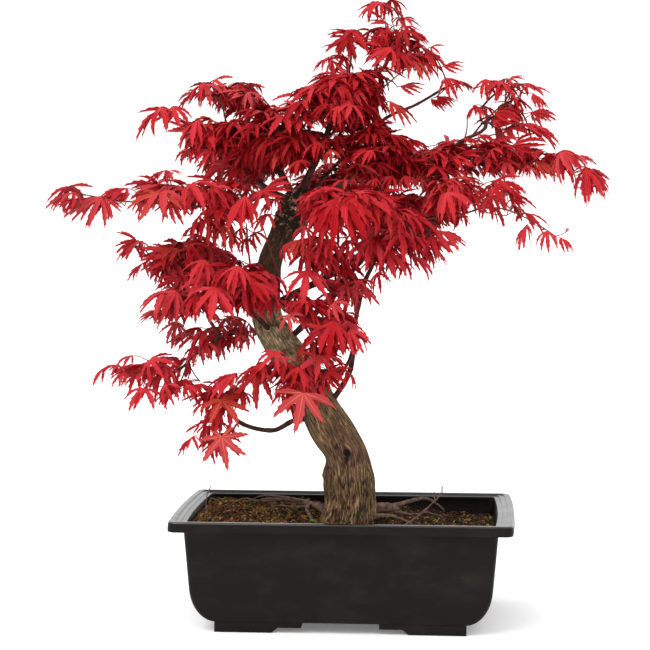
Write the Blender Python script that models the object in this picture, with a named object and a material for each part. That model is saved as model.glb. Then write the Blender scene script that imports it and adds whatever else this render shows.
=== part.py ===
"""A Japanese maple bonsai in a shallow rectangular pot. Metres, +Z up, the pot's long front faces -Y.

The origin lies on the ground under the middle of the whole tree's box. Trunk, boughs and foliage are placed
from the middle of the pot, at place().
"""

import math

import bmesh
import bpy
from mathutils import Matrix, Vector, noise
from mathutils.bvhtree import BVHTree

# The middle of the pot, seen from the middle of the tree's box.
pot_centre = Vector((0.017, 0.0, 0.0))
clearance = 0.0004

# Pot
pot_length = 0.280
pot_depth = 0.208
pot_height = 0.092
rim_width = 0.0145
rim_drop = 0.0087
rim_bow = 0.0025
body_bow = 0.0015
rim_step = 0.0012
foot_height = 0.0085
wall = 0.003
inner_floor = 0.0125
end_curve = 0.026
end_curve_reach = 0.018
body_corner = 0.005
rim_corner = 0.006
lip_corner = 0.003
edge_round = 0.0012
end_taper = 0.0065
side_taper = 0.004
body_inset = 0.0118
side_inset_top = 0.0108
wall_heights = (0.078, 0.052, 0.030, 0.018)
end_curve_steps = (0.0, 0.08, 0.22, 0.42, 0.7, 1.0)
foot_outer = 0.103
foot_thick_from = 0.056
foot_thin_from = 0.032
foot_thin_height = 0.0042
foot_depth = 0.026
foot_shoulder = 0.005
foot_sunk = 0.0012
foot_setback = 0.0005

# Soil
soil_height = 0.0825
soil_fall = 0.0025
soil_relief = 0.0012

# Trunk: height, x, y and radius at each change of its line
trunk_cut = 0.0805
trunk_stations = (
    (trunk_cut, 0.002, -0.025, 0.0225),
    (0.100, 0.004, -0.024, 0.0212),
    (0.119, 0.003, -0.023, 0.0210),
    (0.141, 0.0, -0.021, 0.0176),
    (0.162, -0.013, -0.020, 0.0180),
    (0.183, -0.025, -0.018, 0.0162),
    (0.206, -0.037, -0.016, 0.0156),
    (0.231, -0.055, -0.014, 0.0150),
    (0.254, -0.067, -0.013, 0.0128),
    (0.283, -0.067, -0.011, 0.0110),
    (0.304, -0.064, -0.009, 0.0100),
    (0.324, -0.055, -0.008, 0.0105),
    (0.342, -0.045, -0.006, 0.0140),
    (0.352, -0.041, -0.006, 0.0126),
    (0.361, -0.041, -0.005, 0.0085),
)
flare_height = 0.030
flare_reach = 0.0038
root_lobes = 5
trunk_sides = 13
trunk_rings = 23

bark_colour = (0.115, 0.070, 0.044)
twig_colour = (0.070, 0.028, 0.022)
leaf_colour = (0.330, 0.022, 0.024)
pot_colour = (0.021, 0.016, 0.015)
soil_colour = (0.060, 0.030, 0.013)

# Boughs: the mass that each one enters, radius at the trunk and at the tip, and the points it passes
boughs = {
    "bough_low_left": ("leaves_lower_left_inner", 0.0030, 0.0020,
                       ((-0.024, -0.018, 0.169), (-0.043, -0.026, 0.168), (-0.061, -0.030, 0.160),
                        (-0.086, -0.036, 0.166), (-0.100, -0.041, 0.182))),
    "bough_low_right": ("leaves_front_right", 0.0031, 0.0022,
                        ((-0.016, -0.018, 0.178), (0.001, -0.024, 0.204), (0.006, -0.029, 0.222),
                         (0.008, -0.032, 0.250), (0.016, -0.042, 0.284), (0.026, -0.052, 0.304))),
    "bough_mid_left": ("leaves_left_inner", 0.0028, 0.0022,
                       ((-0.057, -0.018, 0.236), (-0.073, -0.033, 0.254), (-0.086, -0.046, 0.268))),
    "bough_right_main": ("leaves_front_right", 0.0052, 0.0034,
                         ((-0.064, -0.010, 0.263), (-0.040, -0.012, 0.276), (-0.014, -0.019, 0.290),
                          (0.008, -0.030, 0.305), (0.030, -0.052, 0.322))),
    "bough_right_low": ("leaves_front_right", 0.0034, 0.0024,
                        ((-0.052, -0.014, 0.232), (-0.022, -0.024, 0.262), (0.002, -0.036, 0.290),
                         (0.022, -0.050, 0.312))),
    "bough_left_arm": ("leaves_left_arm_inner", 0.0040, 0.0028,
                       ((-0.044, -0.007, 0.348), (-0.062, -0.018, 0.358), (-0.080, -0.030, 0.353),
                        (-0.098, -0.040, 0.345))),
    "bough_upper_left": ("leaves_upper_left_inner", 0.0044, 0.0032,
                         ((-0.044, -0.005, 0.352), (-0.054, -0.005, 0.370), (-0.066, -0.005, 0.392))),
    "bough_top": ("leaves_apex_inner", 0.0046, 0.0028,
                  ((-0.041, -0.004, 0.354), (-0.031, -0.004, 0.378), (-0.020, -0.003, 0.402),
                   (-0.010, 0.0, 0.436))),
    "bough_upper_right": ("leaves_apex_spray", 0.0040, 0.0018,
                          ((-0.038, -0.001, 0.351), (-0.010, 0.014, 0.384), (0.028, 0.010, 0.420),
                           (0.058, 0.003, 0.434), (0.085, -0.004, 0.450))),
    "bough_right_arm": ("leaves_heart_right", 0.0046, 0.0034,
                        ((-0.038, -0.009, 0.349), (-0.012, -0.012, 0.362), (0.030, -0.004, 0.382))),
    "bough_back_left": ("leaves_back_left_top", 0.0040, 0.0026,
                        ((-0.046, -0.001, 0.348), (-0.072, 0.034, 0.362), (-0.100, 0.082, 0.382))),
    "bough_back_right": ("leaves_back_right_top", 0.0042, 0.0028,
                         ((-0.040, 0.000, 0.345), (-0.006, 0.040, 0.358), (0.050, 0.088, 0.384))),
}
bough_sides = 6
bough_ring_gap = 0.016

# Foliage masses, the outer ones first: middle, half size, and degrees of tilt that lift the right end.
# Each gives way to those before it.
masses = {
    "leaves_lower_left_tip": ((-0.194, -0.038, 0.208), (0.020, 0.020, 0.0145), 10),
    "leaves_lower_left_mid": ((-0.156, -0.030, 0.199), (0.038, 0.034, 0.025), 0),
    "leaves_lower_left_hanging": ((-0.109, -0.062, 0.150), (0.029, 0.024, 0.026), 0),
    "leaves_lower_left_inner": ((-0.103, -0.042, 0.183), (0.030, 0.030, 0.016), -8),
    "leaves_trunk_front": ((-0.038, -0.062, 0.197), (0.026, 0.031, 0.032), 0),
    "leaves_trunk_front_left": ((-0.080, -0.067, 0.208), (0.026, 0.021, 0.0135), 12),
    "leaves_trunk_front_right": ((-0.007, -0.056, 0.203), (0.0215, 0.022, 0.013), -18),
    "leaves_left_tip": ((-0.185, -0.006, 0.304), (0.019, 0.022, 0.017), -40),
    "leaves_left_outer": ((-0.136, -0.010, 0.296), (0.038, 0.038, 0.024), 12),
    "leaves_left_under": ((-0.145, -0.036, 0.261), (0.037, 0.031, 0.017), 6),
    "leaves_left_inner": ((-0.086, -0.052, 0.276), (0.037, 0.036, 0.027), -12),
    "leaves_left_below": ((-0.118, -0.010, 0.230), (0.044, 0.031, 0.022), 12),
    "leaves_left_arm_tip": ((-0.222, -0.052, 0.347), (0.033, 0.024, 0.0155), 14),
    "leaves_left_arm_mid": ((-0.157, -0.046, 0.352), (0.037, 0.034, 0.021), 6),
    "leaves_left_arm_inner": ((-0.099, -0.040, 0.344), (0.031, 0.040, 0.030), 0),
    "leaves_upper_left_tip": ((-0.162, 0.004, 0.418), (0.031, 0.025, 0.0155), 26),
    "leaves_upper_left_top": ((-0.102, 0.018, 0.437), (0.041, 0.036, 0.016), -4),
    "leaves_upper_left_outer": ((-0.129, -0.008, 0.400), (0.026, 0.028, 0.022), 25),
    "leaves_apex": ((0.025, 0.006, 0.507), (0.026, 0.024, 0.013), 0),
    "leaves_apex_left": ((-0.009, -0.006, 0.477), (0.027, 0.026, 0.015), 40),
    "leaves_apex_right": ((0.042, 0.004, 0.479), (0.040, 0.035, 0.024), -40),
    "leaves_apex_spray": ((0.086, -0.004, 0.451), (0.020, 0.020, 0.013), -60),
    "leaves_apex_inner": ((-0.010, 0.0, 0.436), (0.048, 0.047, 0.028), 16),
    "leaves_upper_right": ((0.136, 0.015, 0.428), (0.041, 0.032, 0.030), -8),
    "leaves_right_arm_tip": ((0.198, -0.014, 0.372), (0.028, 0.024, 0.0135), -42),
    "leaves_right_arm_outer": ((0.136, -0.010, 0.387), (0.047, 0.036, 0.020), -4),
    "leaves_right_arm_inner": ((0.079, -0.004, 0.385), (0.032, 0.038, 0.019), 12),
    "leaves_lower_right_tip": ((0.165, -0.050, 0.321), (0.029, 0.020, 0.0135), -12),
    "leaves_lower_right_outer": ((0.128, -0.044, 0.351), (0.031, 0.028, 0.020), -35),
    "leaves_lower_right_inner": ((0.090, -0.048, 0.351), (0.033, 0.035, 0.026), 0),
    "leaves_front_centre": ((0.003, -0.098, 0.343), (0.045, 0.036, 0.027), 0),
    "leaves_lower_right_under": ((0.065, -0.042, 0.312), (0.034, 0.030, 0.018), -20),
    "leaves_right_hanging_lower": ((-0.005, -0.056, 0.236), (0.031, 0.028, 0.020), -6),
    "leaves_right_hanging_upper": ((0.004, -0.050, 0.269), (0.029, 0.028, 0.020), 0),
    "leaves_right_hanging_inner": ((-0.038, -0.064, 0.261), (0.0185, 0.022, 0.0165), 0),
    "leaves_front_under": ((-0.022, -0.050, 0.303), (0.031, 0.028, 0.0175), -8),
    "leaves_front_right": ((0.038, -0.066, 0.321), (0.032, 0.037, 0.038), 0),
    "leaves_back_top": ((-0.010, 0.080, 0.440), (0.042, 0.042, 0.028), 0),
    "leaves_back_left_top": ((-0.104, 0.086, 0.386), (0.044, 0.046, 0.038), 0),
    "leaves_back_left": ((-0.136, 0.062, 0.292), (0.038, 0.042, 0.026), 0),
    "leaves_back_right_top": ((0.062, 0.088, 0.386), (0.046, 0.042, 0.026), 0),
    "leaves_back_right": ((0.048, 0.074, 0.333), (0.042, 0.042, 0.032), 0),
    "leaves_back_middle": ((-0.020, 0.092, 0.350), (0.044, 0.042, 0.036), 0),
    "leaves_heart_right": ((0.032, -0.002, 0.388), (0.045, 0.052, 0.034), 0),
    "leaves_upper_left_inner": ((-0.060, -0.004, 0.400), (0.065, 0.050, 0.035), 8),
}
mass_unevenness = 0.20
mass_lumps = 2.0


def clear_scene():
    for obj in list(bpy.data.objects):
        bpy.data.objects.remove(obj)


def place(point):
    """A point measured from the middle of the pot, in the tree's frame."""
    return Vector(point) + pot_centre


def material(name, colour, roughness):
    made = bpy.data.materials.new(name)
    made.use_nodes = True
    shader = made.node_tree.nodes["Principled BSDF"]
    shader.inputs["Base Color"].default_value = (*colour, 1.0)
    shader.inputs["Roughness"].default_value = roughness
    made.diffuse_color = (*colour, 1.0)
    return made


def add(name, bm, colour, roughness):
    """An object from a finished bmesh."""
    bmesh.ops.recalc_face_normals(bm, faces=bm.faces)
    if bm.calc_volume(signed=True) < 0:
        bmesh.ops.reverse_faces(bm, faces=bm.faces)
    bmesh.ops.triangulate(bm, faces=bm.faces)
    mesh = bpy.data.meshes.new(name)
    bm.to_mesh(mesh)
    bm.free()
    mesh.shade_smooth()
    mesh.set_sharp_from_angle(angle=math.radians(40))
    obj = bpy.data.objects.new(name, mesh)
    obj.data.materials.append(material(name, colour, roughness))
    bpy.context.scene.collection.objects.link(obj)
    return obj


def grown(obj, by):
    """A hidden cutter: the object's own mesh moved out by a clearance."""
    bm = bmesh.new()
    bm.from_mesh(obj.data)
    bm.normal_update()
    moves = [vert.normal * by for vert in bm.verts]
    for vert, move in zip(bm.verts, moves):
        vert.co += move
    mesh = bpy.data.meshes.new(obj.name + "_cutter")
    bm.to_mesh(mesh)
    bm.free()
    cutter = bpy.data.objects.new(obj.name + "_cutter", mesh)
    cutter.hide_render = True
    cutter.display_type = "WIRE"
    bpy.context.scene.collection.objects.link(cutter)
    return cutter


def tree_of(obj):
    bm = bmesh.new()
    bm.from_mesh(obj.data)
    tree = BVHTree.FromBMesh(bm)
    bm.free()
    return tree


def cut(obj, cutter):
    """Takes the cutter out of the object, where their surfaces cross."""
    if not tree_of(obj).overlap(tree_of(cutter)):
        return
    modifier = obj.modifiers.new(cutter.name, "BOOLEAN")
    modifier.operation = "DIFFERENCE"
    modifier.solver = "EXACT"
    modifier.object = cutter


def join(obj, other):
    """Unites another object with this one."""
    modifier = obj.modifiers.new(other.name, "BOOLEAN")
    modifier.operation = "UNION"
    modifier.solver = "EXACT"
    modifier.object = other
    other.hide_render = True
    other.display_type = "WIRE"


def skin(bm, rings, close_ends=True):
    """Quads between rings of the same number of points, with a face over each end."""
    made = [[bm.verts.new(point) for point in ring] for ring in rings]
    for low, high in zip(made, made[1:]):
        for i in range(len(low)):
            j = (i + 1) % len(low)
            bm.faces.new((low[i], low[j], high[j], high[i]))
    if close_ends:
        bm.faces.new(made[0][::-1])
        bm.faces.new(made[-1])
    return made


def plan(half_length, half_depth, corner, bow, height):
    """A ring round the pot: a rectangle with rounded corners and short sides that bow outwards."""
    points = []
    for turn in range(4):
        sx = 1 if turn in (0, 3) else -1
        sy = 1 if turn in (0, 1) else -1
        for step in range(3):
            angle = math.radians(90 * turn + 45 * step)
            x = sx * (half_length - corner) + corner * math.cos(angle)
            y = sy * (half_depth - corner) + corner * math.sin(angle)
            points.append((x, y))
        if turn in (1, 3):
            for part in (0.5, 0.0, -0.5):
                points.append((sx * half_length, sy * part * half_depth))
    ring = []
    for x, y in points:
        out = bow * (1 - (y / half_depth) ** 2)
        ring.append(place((x + math.copysign(out, x), y, height)))
    return ring


def end_inset(height):
    """How far the pot's ends lie inside its rim: a taper, then a quarter curve to the underside."""
    under_rim = pot_height - rim_drop
    inset = body_inset + end_taper * (under_rim - height) / (under_rim - foot_height)
    above = height - foot_height
    if above < end_curve:
        inset += end_curve_reach * (1 - math.sqrt(1 - (1 - above / end_curve) ** 2))
    return inset


def side_inset(height):
    return side_inset_top + side_taper * (1 - height / pot_height)


def body_ring(height, thickness):
    inset_x = end_inset(height) + thickness
    inset_y = side_inset(height) + thickness
    return plan(pot_length / 2 - inset_x, pot_depth / 2 - inset_y, body_corner, body_bow, height)


def rim_ring(inset, height, corner):
    return plan(pot_length / 2 - inset, pot_depth / 2 - inset, corner, rim_bow, height)


def make_pot():
    """One moulded tub: tapered walls, ends that curve under, and a wide stepped rim, on four feet."""
    under_rim = pot_height - rim_drop
    outside = [body_ring(foot_height + end_curve * part, 0) for part in end_curve_steps]
    outside += [body_ring(height, 0) for height in (wall_heights[1], under_rim)]
    rim = [
        rim_ring(0, under_rim, rim_corner),
        rim_ring(0, pot_height - edge_round, rim_corner),
        rim_ring(edge_round, pot_height, body_corner),
        rim_ring(rim_width * 0.58, pot_height, lip_corner),
        rim_ring(rim_width * 0.62, pot_height - rim_step, lip_corner),
        rim_ring(rim_width, pot_height - rim_step, lip_corner),
    ]
    inside = [body_ring(height, wall) for height in (*wall_heights, inner_floor)]
    bm = bmesh.new()
    skin(bm, outside + rim + inside)
    pot = add("pot", bm, pot_colour, 0.42)
    for sx in (-1, 1):
        for sy in (-1, 1):
            join(pot, make_foot(sx, sy))
    return pot


def make_foot(sx, sy):
    """A bar along the long side: thick towards the corner, then a thinner step with a slanted shoulder."""
    top = foot_height + foot_sunk
    outline = (
        (foot_outer, 0.0),
        (foot_outer, top),
        (foot_thin_from, top),
        (foot_thin_from, foot_thin_height),
        (foot_thick_from - foot_shoulder, foot_thin_height),
        (foot_thick_from, 0.0),
    )
    front = pot_depth / 2 - side_inset(foot_height) - foot_setback
    rings = []
    for y in (front, front - foot_depth):
        rings.append([place((sx * x, sy * y, z)) for x, z in outline])
    bm = bmesh.new()
    skin(bm, rings)
    return add("foot", bm, pot_colour, 0.42)


def soil_top(x, y):
    """The height of the soil at a place on the pot's plan."""
    relief = soil_relief * noise.noise(Vector((x * 45, y * 45, 3.0)))
    return soil_height - soil_fall * x / (pot_length / 2) + relief


def make_soil():
    """Soil from the pot's floor to just under its rim, with an uneven top."""
    gap = wall + clearance
    rings = [body_ring(height, gap) for height in (inner_floor + clearance, *reversed(wall_heights[1:]))]
    edge = body_ring(wall_heights[0], gap)
    for scale in (1.0, 0.88, 0.62, 0.3):
        ring = []
        for point in edge:
            x = (point.x - pot_centre.x) * scale
            y = (point.y - pot_centre.y) * scale
            ring.append(place((x, y, soil_top(x, y))))
        rings.append(ring)
    bm = bmesh.new()
    skin(bm, rings)
    return add("soil", bm, soil_colour, 0.95)


def through(points, amount):
    """A point of the smooth line through the given points, which may carry more numbers than three."""
    last = len(points) - 1
    at = min(max(amount * last, 0.0), last - 1e-6)
    i = int(at)
    t = at - i
    p0, p1, p2, p3 = (points[min(max(i + k, 0), last)] for k in (-1, 0, 1, 2))
    out = []
    for a, b, c, d in zip(p0, p1, p2, p3):
        bend = (2 * a - 5 * b + 4 * c - d) * t**2 + (3 * b - a - 3 * c + d) * t**3
        out.append(0.5 * (2 * b + (c - a) * t + bend))
    return out


def tube_ring(centre, along, radius_at, sides):
    """Points round a limb, square to its direction, starting from the side away from -Y."""
    across = Vector((0, 1, 0)).cross(along).normalized()
    front = along.cross(across).normalized()
    ring = []
    for i in range(sides):
        angle = math.tau * i / sides
        ring.append(centre + (across * math.cos(angle) + front * math.sin(angle)) * radius_at(angle))
    return ring


def make_trunk():
    """The trunk from its flat foot to the callus where the upper boughs fork."""
    rings = []
    for step in range(trunk_rings):
        amount = step / (trunk_rings - 1)
        z, x, y, radius = through(trunk_stations, amount)
        nz, nx, ny, _ = through(trunk_stations, min(amount + 0.02, 1.0))
        pz, px, py, _ = through(trunk_stations, max(amount - 0.02, 0.0))
        along = Vector((nx - px, ny - py, nz - pz)).normalized()
        flare = max(0.0, 1 - (z - trunk_cut) / flare_height) ** 2 * flare_reach
        if step == 0:
            along = Vector((0, 0, 1))

        def radius_at(angle):
            lobes = 0.5 + 0.5 * math.cos(root_lobes * angle + 0.9)
            swell = noise.noise(Vector((math.cos(angle) * 1.4, math.sin(angle) * 1.4, z * 42)))
            return radius * (1 + 0.05 * swell) + flare * lobes

        rings.append(tube_ring(place((x, y, z)), along, radius_at, trunk_sides))
    bm = bmesh.new()
    skin(bm, rings)
    return add("trunk", bm, bark_colour, 0.9)


def make_bough(name):
    """One limb that tapers from the trunk to the mass that it enters."""
    _, radius_start, radius_end, points = boughs[name]
    length = sum((Vector(b) - Vector(a)).length for a, b in zip(points, points[1:]))
    count = max(4, round(length / bough_ring_gap))
    rings = []
    for step in range(count + 1):
        amount = step / count
        here = Vector(through(points, amount))
        along = Vector(through(points, amount + 0.03)) - Vector(through(points, amount - 0.03))
        radius = radius_start + (radius_end - radius_start) * amount
        rings.append(tube_ring(place(here), along.normalized(), lambda angle: radius, bough_sides))
    bm = bmesh.new()
    skin(bm, rings)
    return add(name, bm, bark_colour, 0.85)


def make_mass(name, seed):
    """A closed uneven solid: an ellipsoid with soft lumps, flatter below, tilted about the Y axis."""
    centre, half, tilt = masses[name]
    size = max(half)
    across, along = (12, 7) if size > 0.040 else (9, 6)
    bm = bmesh.new()
    bmesh.ops.create_uvsphere(bm, u_segments=across, v_segments=along, radius=1.0)
    start = Vector((seed * 3.7, seed * 1.9, seed * 5.3))
    for vert in bm.verts:
        way = vert.co.normalized()
        reach = 1 + mass_unevenness * noise.noise(way * mass_lumps + start)
        if way.z < 0:
            reach *= 1 + 0.10 * way.z
        vert.co = Vector((way.x * half[0], way.y * half[1], way.z * half[2])) * reach
    turn = Matrix.Rotation(math.radians(-tilt), 4, "Y")
    bmesh.ops.transform(bm, matrix=Matrix.Translation(place(centre)) @ turn, verts=bm.verts)
    return add(name, bm, leaf_colour, 0.6)


def build():
    clear_scene()
    make_pot()
    soil = make_soil()
    trunk = make_trunk()
    trunk_cutter = grown(trunk, clearance)
    cut(soil, trunk_cutter)

    limbs = {name: make_bough(name) for name in boughs}
    clumps = {name: make_mass(name, 1 + i) for i, name in enumerate(masses)}
    limb_cutters = {name: grown(limb, clearance) for name, limb in limbs.items()}
    clump_cutters = {name: grown(clump, clearance) for name, clump in clumps.items()}

    done = []
    for name, limb in limbs.items():
        cut(limb, trunk_cutter)
        for other in done:
            cut(limb, limb_cutters[other])
        cut(limb, clump_cutters[boughs[name][0]])
        done.append(name)

    done = []
    for name, clump in clumps.items():
        cut(clump, trunk_cutter)
        for bough in boughs:
            if boughs[bough][0] != name:
                cut(clump, limb_cutters[bough])
        for other in done:
            cut(clump, clump_cutters[other])
        done.append(name)


build()
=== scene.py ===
import itertools
import math

import bpy
import numpy as np
from mathutils import Matrix, Vector, noise
from mathutils.bvhtree import BVHTree


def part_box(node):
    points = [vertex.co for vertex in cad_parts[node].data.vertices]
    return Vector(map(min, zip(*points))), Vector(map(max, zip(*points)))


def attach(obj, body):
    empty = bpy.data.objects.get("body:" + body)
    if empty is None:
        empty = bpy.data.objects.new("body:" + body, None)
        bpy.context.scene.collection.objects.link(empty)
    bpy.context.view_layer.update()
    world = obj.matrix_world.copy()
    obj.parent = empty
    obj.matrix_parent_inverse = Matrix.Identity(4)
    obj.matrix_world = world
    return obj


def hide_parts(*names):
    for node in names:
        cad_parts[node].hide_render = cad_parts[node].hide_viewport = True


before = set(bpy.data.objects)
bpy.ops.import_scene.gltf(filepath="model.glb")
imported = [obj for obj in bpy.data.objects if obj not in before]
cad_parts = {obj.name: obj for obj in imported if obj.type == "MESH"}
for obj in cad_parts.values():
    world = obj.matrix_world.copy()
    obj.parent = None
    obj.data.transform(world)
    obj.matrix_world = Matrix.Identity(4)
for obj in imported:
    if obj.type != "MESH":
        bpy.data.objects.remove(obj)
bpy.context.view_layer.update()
potLow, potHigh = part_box("pot")
potMiddle = np.array([(potLow.x + potHigh.x) / 2, 0.0, 0.0])   # trunk and boughs are measured from here
print("frame loaded,", len(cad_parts), "nodes")


# small helpers

def unit(vector):
    return vector / max(float(np.linalg.norm(vector)), 1e-9)


def through(points, amount):
    # a point of the smooth line through the given points
    last = len(points) - 1
    at = min(max(amount * last, 0.0), last - 1e-6)
    i = int(at)
    t = at - i
    a, b, c, d = (np.asarray(points[min(max(i + k, 0), last)], float) for k in (-1, 0, 1, 2))
    bend = (2 * a - 5 * b + 4 * c - d) * t**2 + (3 * b - a - 3 * c + d) * t**3
    return 0.5 * (2 * b + (c - a) * t + bend)


def rough(x, y, z, octaves=3):
    return noise.fractal(Vector((x, y, z)), 0.8, 2.1, octaves)


def newBatch():
    return {"verts": [], "quads": [], "tris": [], "quadSlots": [], "triSlots": [], "count": 0}


def addShape(batch, verts, quads, tris, quadSlots=0, triSlots=0):
    quads = np.asarray(quads, np.int64).reshape(-1, 4)
    tris = np.asarray(tris, np.int64).reshape(-1, 3)
    batch["verts"].append(np.asarray(verts, float))
    batch["quads"].append(quads + batch["count"])
    batch["tris"].append(tris + batch["count"])
    batch["quadSlots"].append(np.zeros(len(quads), np.int64) + quadSlots)
    batch["triSlots"].append(np.zeros(len(tris), np.int64) + triSlots)
    batch["count"] += len(verts)


def meshFrom(name, batch, sharpAngle=None):
    verts = np.concatenate(batch["verts"])
    quads = np.concatenate(batch["quads"])
    tris = np.concatenate(batch["tris"])
    mesh = bpy.data.meshes.new(name)
    mesh.vertices.add(len(verts))
    mesh.vertices.foreach_set("co", verts.astype(np.float32).ravel())
    corners = np.concatenate([quads.ravel(), tris.ravel()])
    starts = np.concatenate([np.arange(len(quads)) * 4, len(quads) * 4 + np.arange(len(tris)) * 3])
    mesh.loops.add(len(corners))
    mesh.loops.foreach_set("vertex_index", corners.astype(np.int32))
    mesh.polygons.add(len(starts))
    mesh.polygons.foreach_set("loop_start", starts.astype(np.int32))
    slots = np.concatenate(batch["quadSlots"] + batch["triSlots"])
    mesh.polygons.foreach_set("material_index", slots.astype(np.int32))
    mesh.update(calc_edges=True)
    mesh.validate()
    mesh.shade_smooth()
    if sharpAngle:
        mesh.set_sharp_from_angle(angle=math.radians(sharpAngle))
    return mesh


def addPiece(name, batch, materials, replaced=(), sharpAngle=None):
    mesh = meshFrom(name, batch, sharpAngle)
    for material in materials:
        mesh.materials.append(material)
    piece = bpy.data.objects.new(name, mesh)
    bpy.context.scene.collection.objects.link(piece)
    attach(piece, "root")
    if replaced:
        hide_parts(*replaced)
    print(name, len(mesh.loop_triangles) or len(mesh.polygons), "faces")
    return piece


def gridFaces(rows, columns, wrap=True):
    # quads between rows of points; wrap closes each row on itself
    faces = []
    last = columns if wrap else columns - 1
    for i in range(rows - 1):
        row = np.arange(last)
        side = (row + 1) % columns
        faces.append(np.stack([i * columns + row, i * columns + side,
                               (i + 1) * columns + side, (i + 1) * columns + row], 1))
    return np.concatenate(faces)


tubeStart = (0.3, 1.0, 0.2)


def tube(points, radii, sides):
    # a closed limb along the points, with a radius for each ring or for each point of each ring
    points = np.asarray(points, float)
    count = len(points)
    along = np.gradient(points, axis=0)
    along /= np.maximum(np.linalg.norm(along, axis=1, keepdims=True), 1e-9)
    across = np.cross(along[0], tubeStart)
    angles = np.arange(sides) * math.tau / sides
    rings = []
    for i in range(count):
        across = unit(across - along[i] * (across @ along[i]))
        other = np.cross(along[i], across)
        reach = np.broadcast_to(radii[i], (sides,))[:, None]
        rings.append(points[i] + reach * (np.cos(angles)[:, None] * across + np.sin(angles)[:, None] * other))
    verts = np.concatenate(rings + [points[:1], points[-1:]])
    side = np.arange(sides)
    after = (side + 1) % sides
    start = np.full(sides, count * sides)
    end = start + 1
    tris = np.concatenate([np.stack([start, after, side], 1),
                           np.stack([end, (count - 1) * sides + side, (count - 1) * sides + after], 1)])
    return verts, gridFaces(count, sides), tris


# materials

def newMaterial(name, colour, roughness, specular=0.5):
    made = bpy.data.materials.new(name)
    made.use_nodes = True
    shader = made.node_tree.nodes["Principled BSDF"]
    shader.inputs["Base Color"].default_value = (*colour, 1.0)
    shader.inputs["Roughness"].default_value = roughness
    shader.inputs["Specular IOR Level"].default_value = specular
    made.diffuse_color = (*colour, 1.0)
    return made


def addNode(material, kind, **values):
    node = material.node_tree.nodes.new(kind)
    for key, value in values.items():
        if hasattr(node, key):
            setattr(node, key, value)
        else:
            node.inputs[key.replace("_", " ")].default_value = value
    return node


def linkNodes(material, source, target):
    material.node_tree.links.new(source, target)


def rampOn(material, source, stops):
    # the colour of a ramp over the source; a stop's colour may be one number for a grey
    ramp = addNode(material, "ShaderNodeValToRGB")
    elements = ramp.color_ramp.elements
    while len(elements) < len(stops):
        elements.new(0.5)
    for element, (place, colour) in zip(elements, stops):
        element.position = place
        element.color = (*(colour if isinstance(colour, tuple) else (colour,) * 3), 1.0)
    linkNodes(material, source, ramp.inputs["Fac"])
    return ramp.outputs["Color"]


def rangeOn(material, source, span, target=(0.0, 1.0)):
    # the source's span stretched or squeezed to the target's
    scaled = addNode(material, "ShaderNodeMapRange")
    for name, value in zip(("From Min", "From Max", "To Min", "To Max"), (*span, *target)):
        scaled.inputs[name].default_value = value
    linkNodes(material, source, scaled.inputs["Value"])
    return scaled.outputs["Result"]


def axisValue(material, axis):
    # how far along its X, Y or Z a point of the object lies
    split = addNode(material, "ShaderNodeSeparateXYZ")
    linkNodes(material, addNode(material, "ShaderNodeTexCoord").outputs["Object"], split.inputs["Vector"])
    return split.outputs[axis]


def attributeValue(material, name, kind="Fac"):
    return addNode(material, "ShaderNodeAttribute", attribute_name=name).outputs[kind]


def noiseValue(material, scale, detail=4.0, stretch=(1, 1, 1), roughness=0.55, flow=None):
    # a noise in the object's own metres, or along the attribute named by flow, stretched along its axes
    if flow:
        place = attributeValue(material, flow, "Vector")
    else:
        place = addNode(material, "ShaderNodeTexCoord").outputs["Object"]
    mapping = addNode(material, "ShaderNodeMapping")
    mapping.inputs["Scale"].default_value = stretch
    made = addNode(material, "ShaderNodeTexNoise", Scale=scale, Detail=detail, Roughness=roughness)
    linkNodes(material, place, mapping.inputs["Vector"])
    linkNodes(material, mapping.outputs["Vector"], made.inputs["Vector"])
    return made.outputs["Fac"]


def mixNode(material, first, second, factor, kind="MIX"):
    mix = addNode(material, "ShaderNodeMix", data_type="RGBA", blend_type=kind)
    for socket, value in ((mix.inputs[6], first), (mix.inputs[7], second), (mix.inputs[0], factor)):
        if isinstance(value, bpy.types.NodeSocket):
            linkNodes(material, value, socket)
        elif isinstance(value, tuple):
            socket.default_value = (*value, 1.0)
        else:
            socket.default_value = value
    return mix.outputs[2]


def setInput(material, name, source):
    linkNodes(material, source, material.node_tree.nodes["Principled BSDF"].inputs[name])


def addBump(material, height, strength, distance):
    bump = addNode(material, "ShaderNodeBump", Strength=strength, Distance=distance)
    linkNodes(material, height, bump.inputs["Height"])
    setInput(material, "Normal", bump.outputs["Normal"])


# camera, light and floor

view = {
    "place": (0.1269, -1.9325, 0.3625),
    "turnLeft": 3.821,
    "tiltDown": 3.413,
    "roll": 0.271,
    "lens": 126.8,
    "sensor": 36.0,
    # side of the square picture that places below are read from
    "pictureSide": 650,
    "farthest": 50.0,
    "skyStrength": 1.15,
    # where each light comes from, how wide it is and how strong
    "suns": {"key": ((-0.60, -0.70, 1.10), 40.0, 1.25), "fill": ((0.20, -1.00, 0.30), 50.0, 0.60)},
    "floorReach": 40.0,
    "floorColour": (0.97, 0.97, 0.97),
    "floorRoughness": 0.7,
    "floorSpecular": 0.2,
    "floorGlow": 0.15,
}


def cameraTurn():
    turn = Matrix.Rotation(math.radians(view["turnLeft"]), 3, "Z")
    tilt = Matrix.Rotation(math.radians(90 - view["tiltDown"]), 3, "X")
    return turn @ tilt @ Matrix.Rotation(math.radians(view["roll"]), 3, "Z")


def seenAt(across, down, depth):
    # the place that shows that far across and down the picture, so many mm behind the pot's middle
    side = view["pictureSide"]
    ray = Vector((across / side - 0.5, 0.5 - down / side, -view["lens"] / view["sensor"]))
    ray = np.array(cameraTurn() @ ray)
    eye = np.array(view["place"])
    return eye + ray * ((depth / 1000 - eye[1]) / ray[1]) - potMiddle


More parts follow.
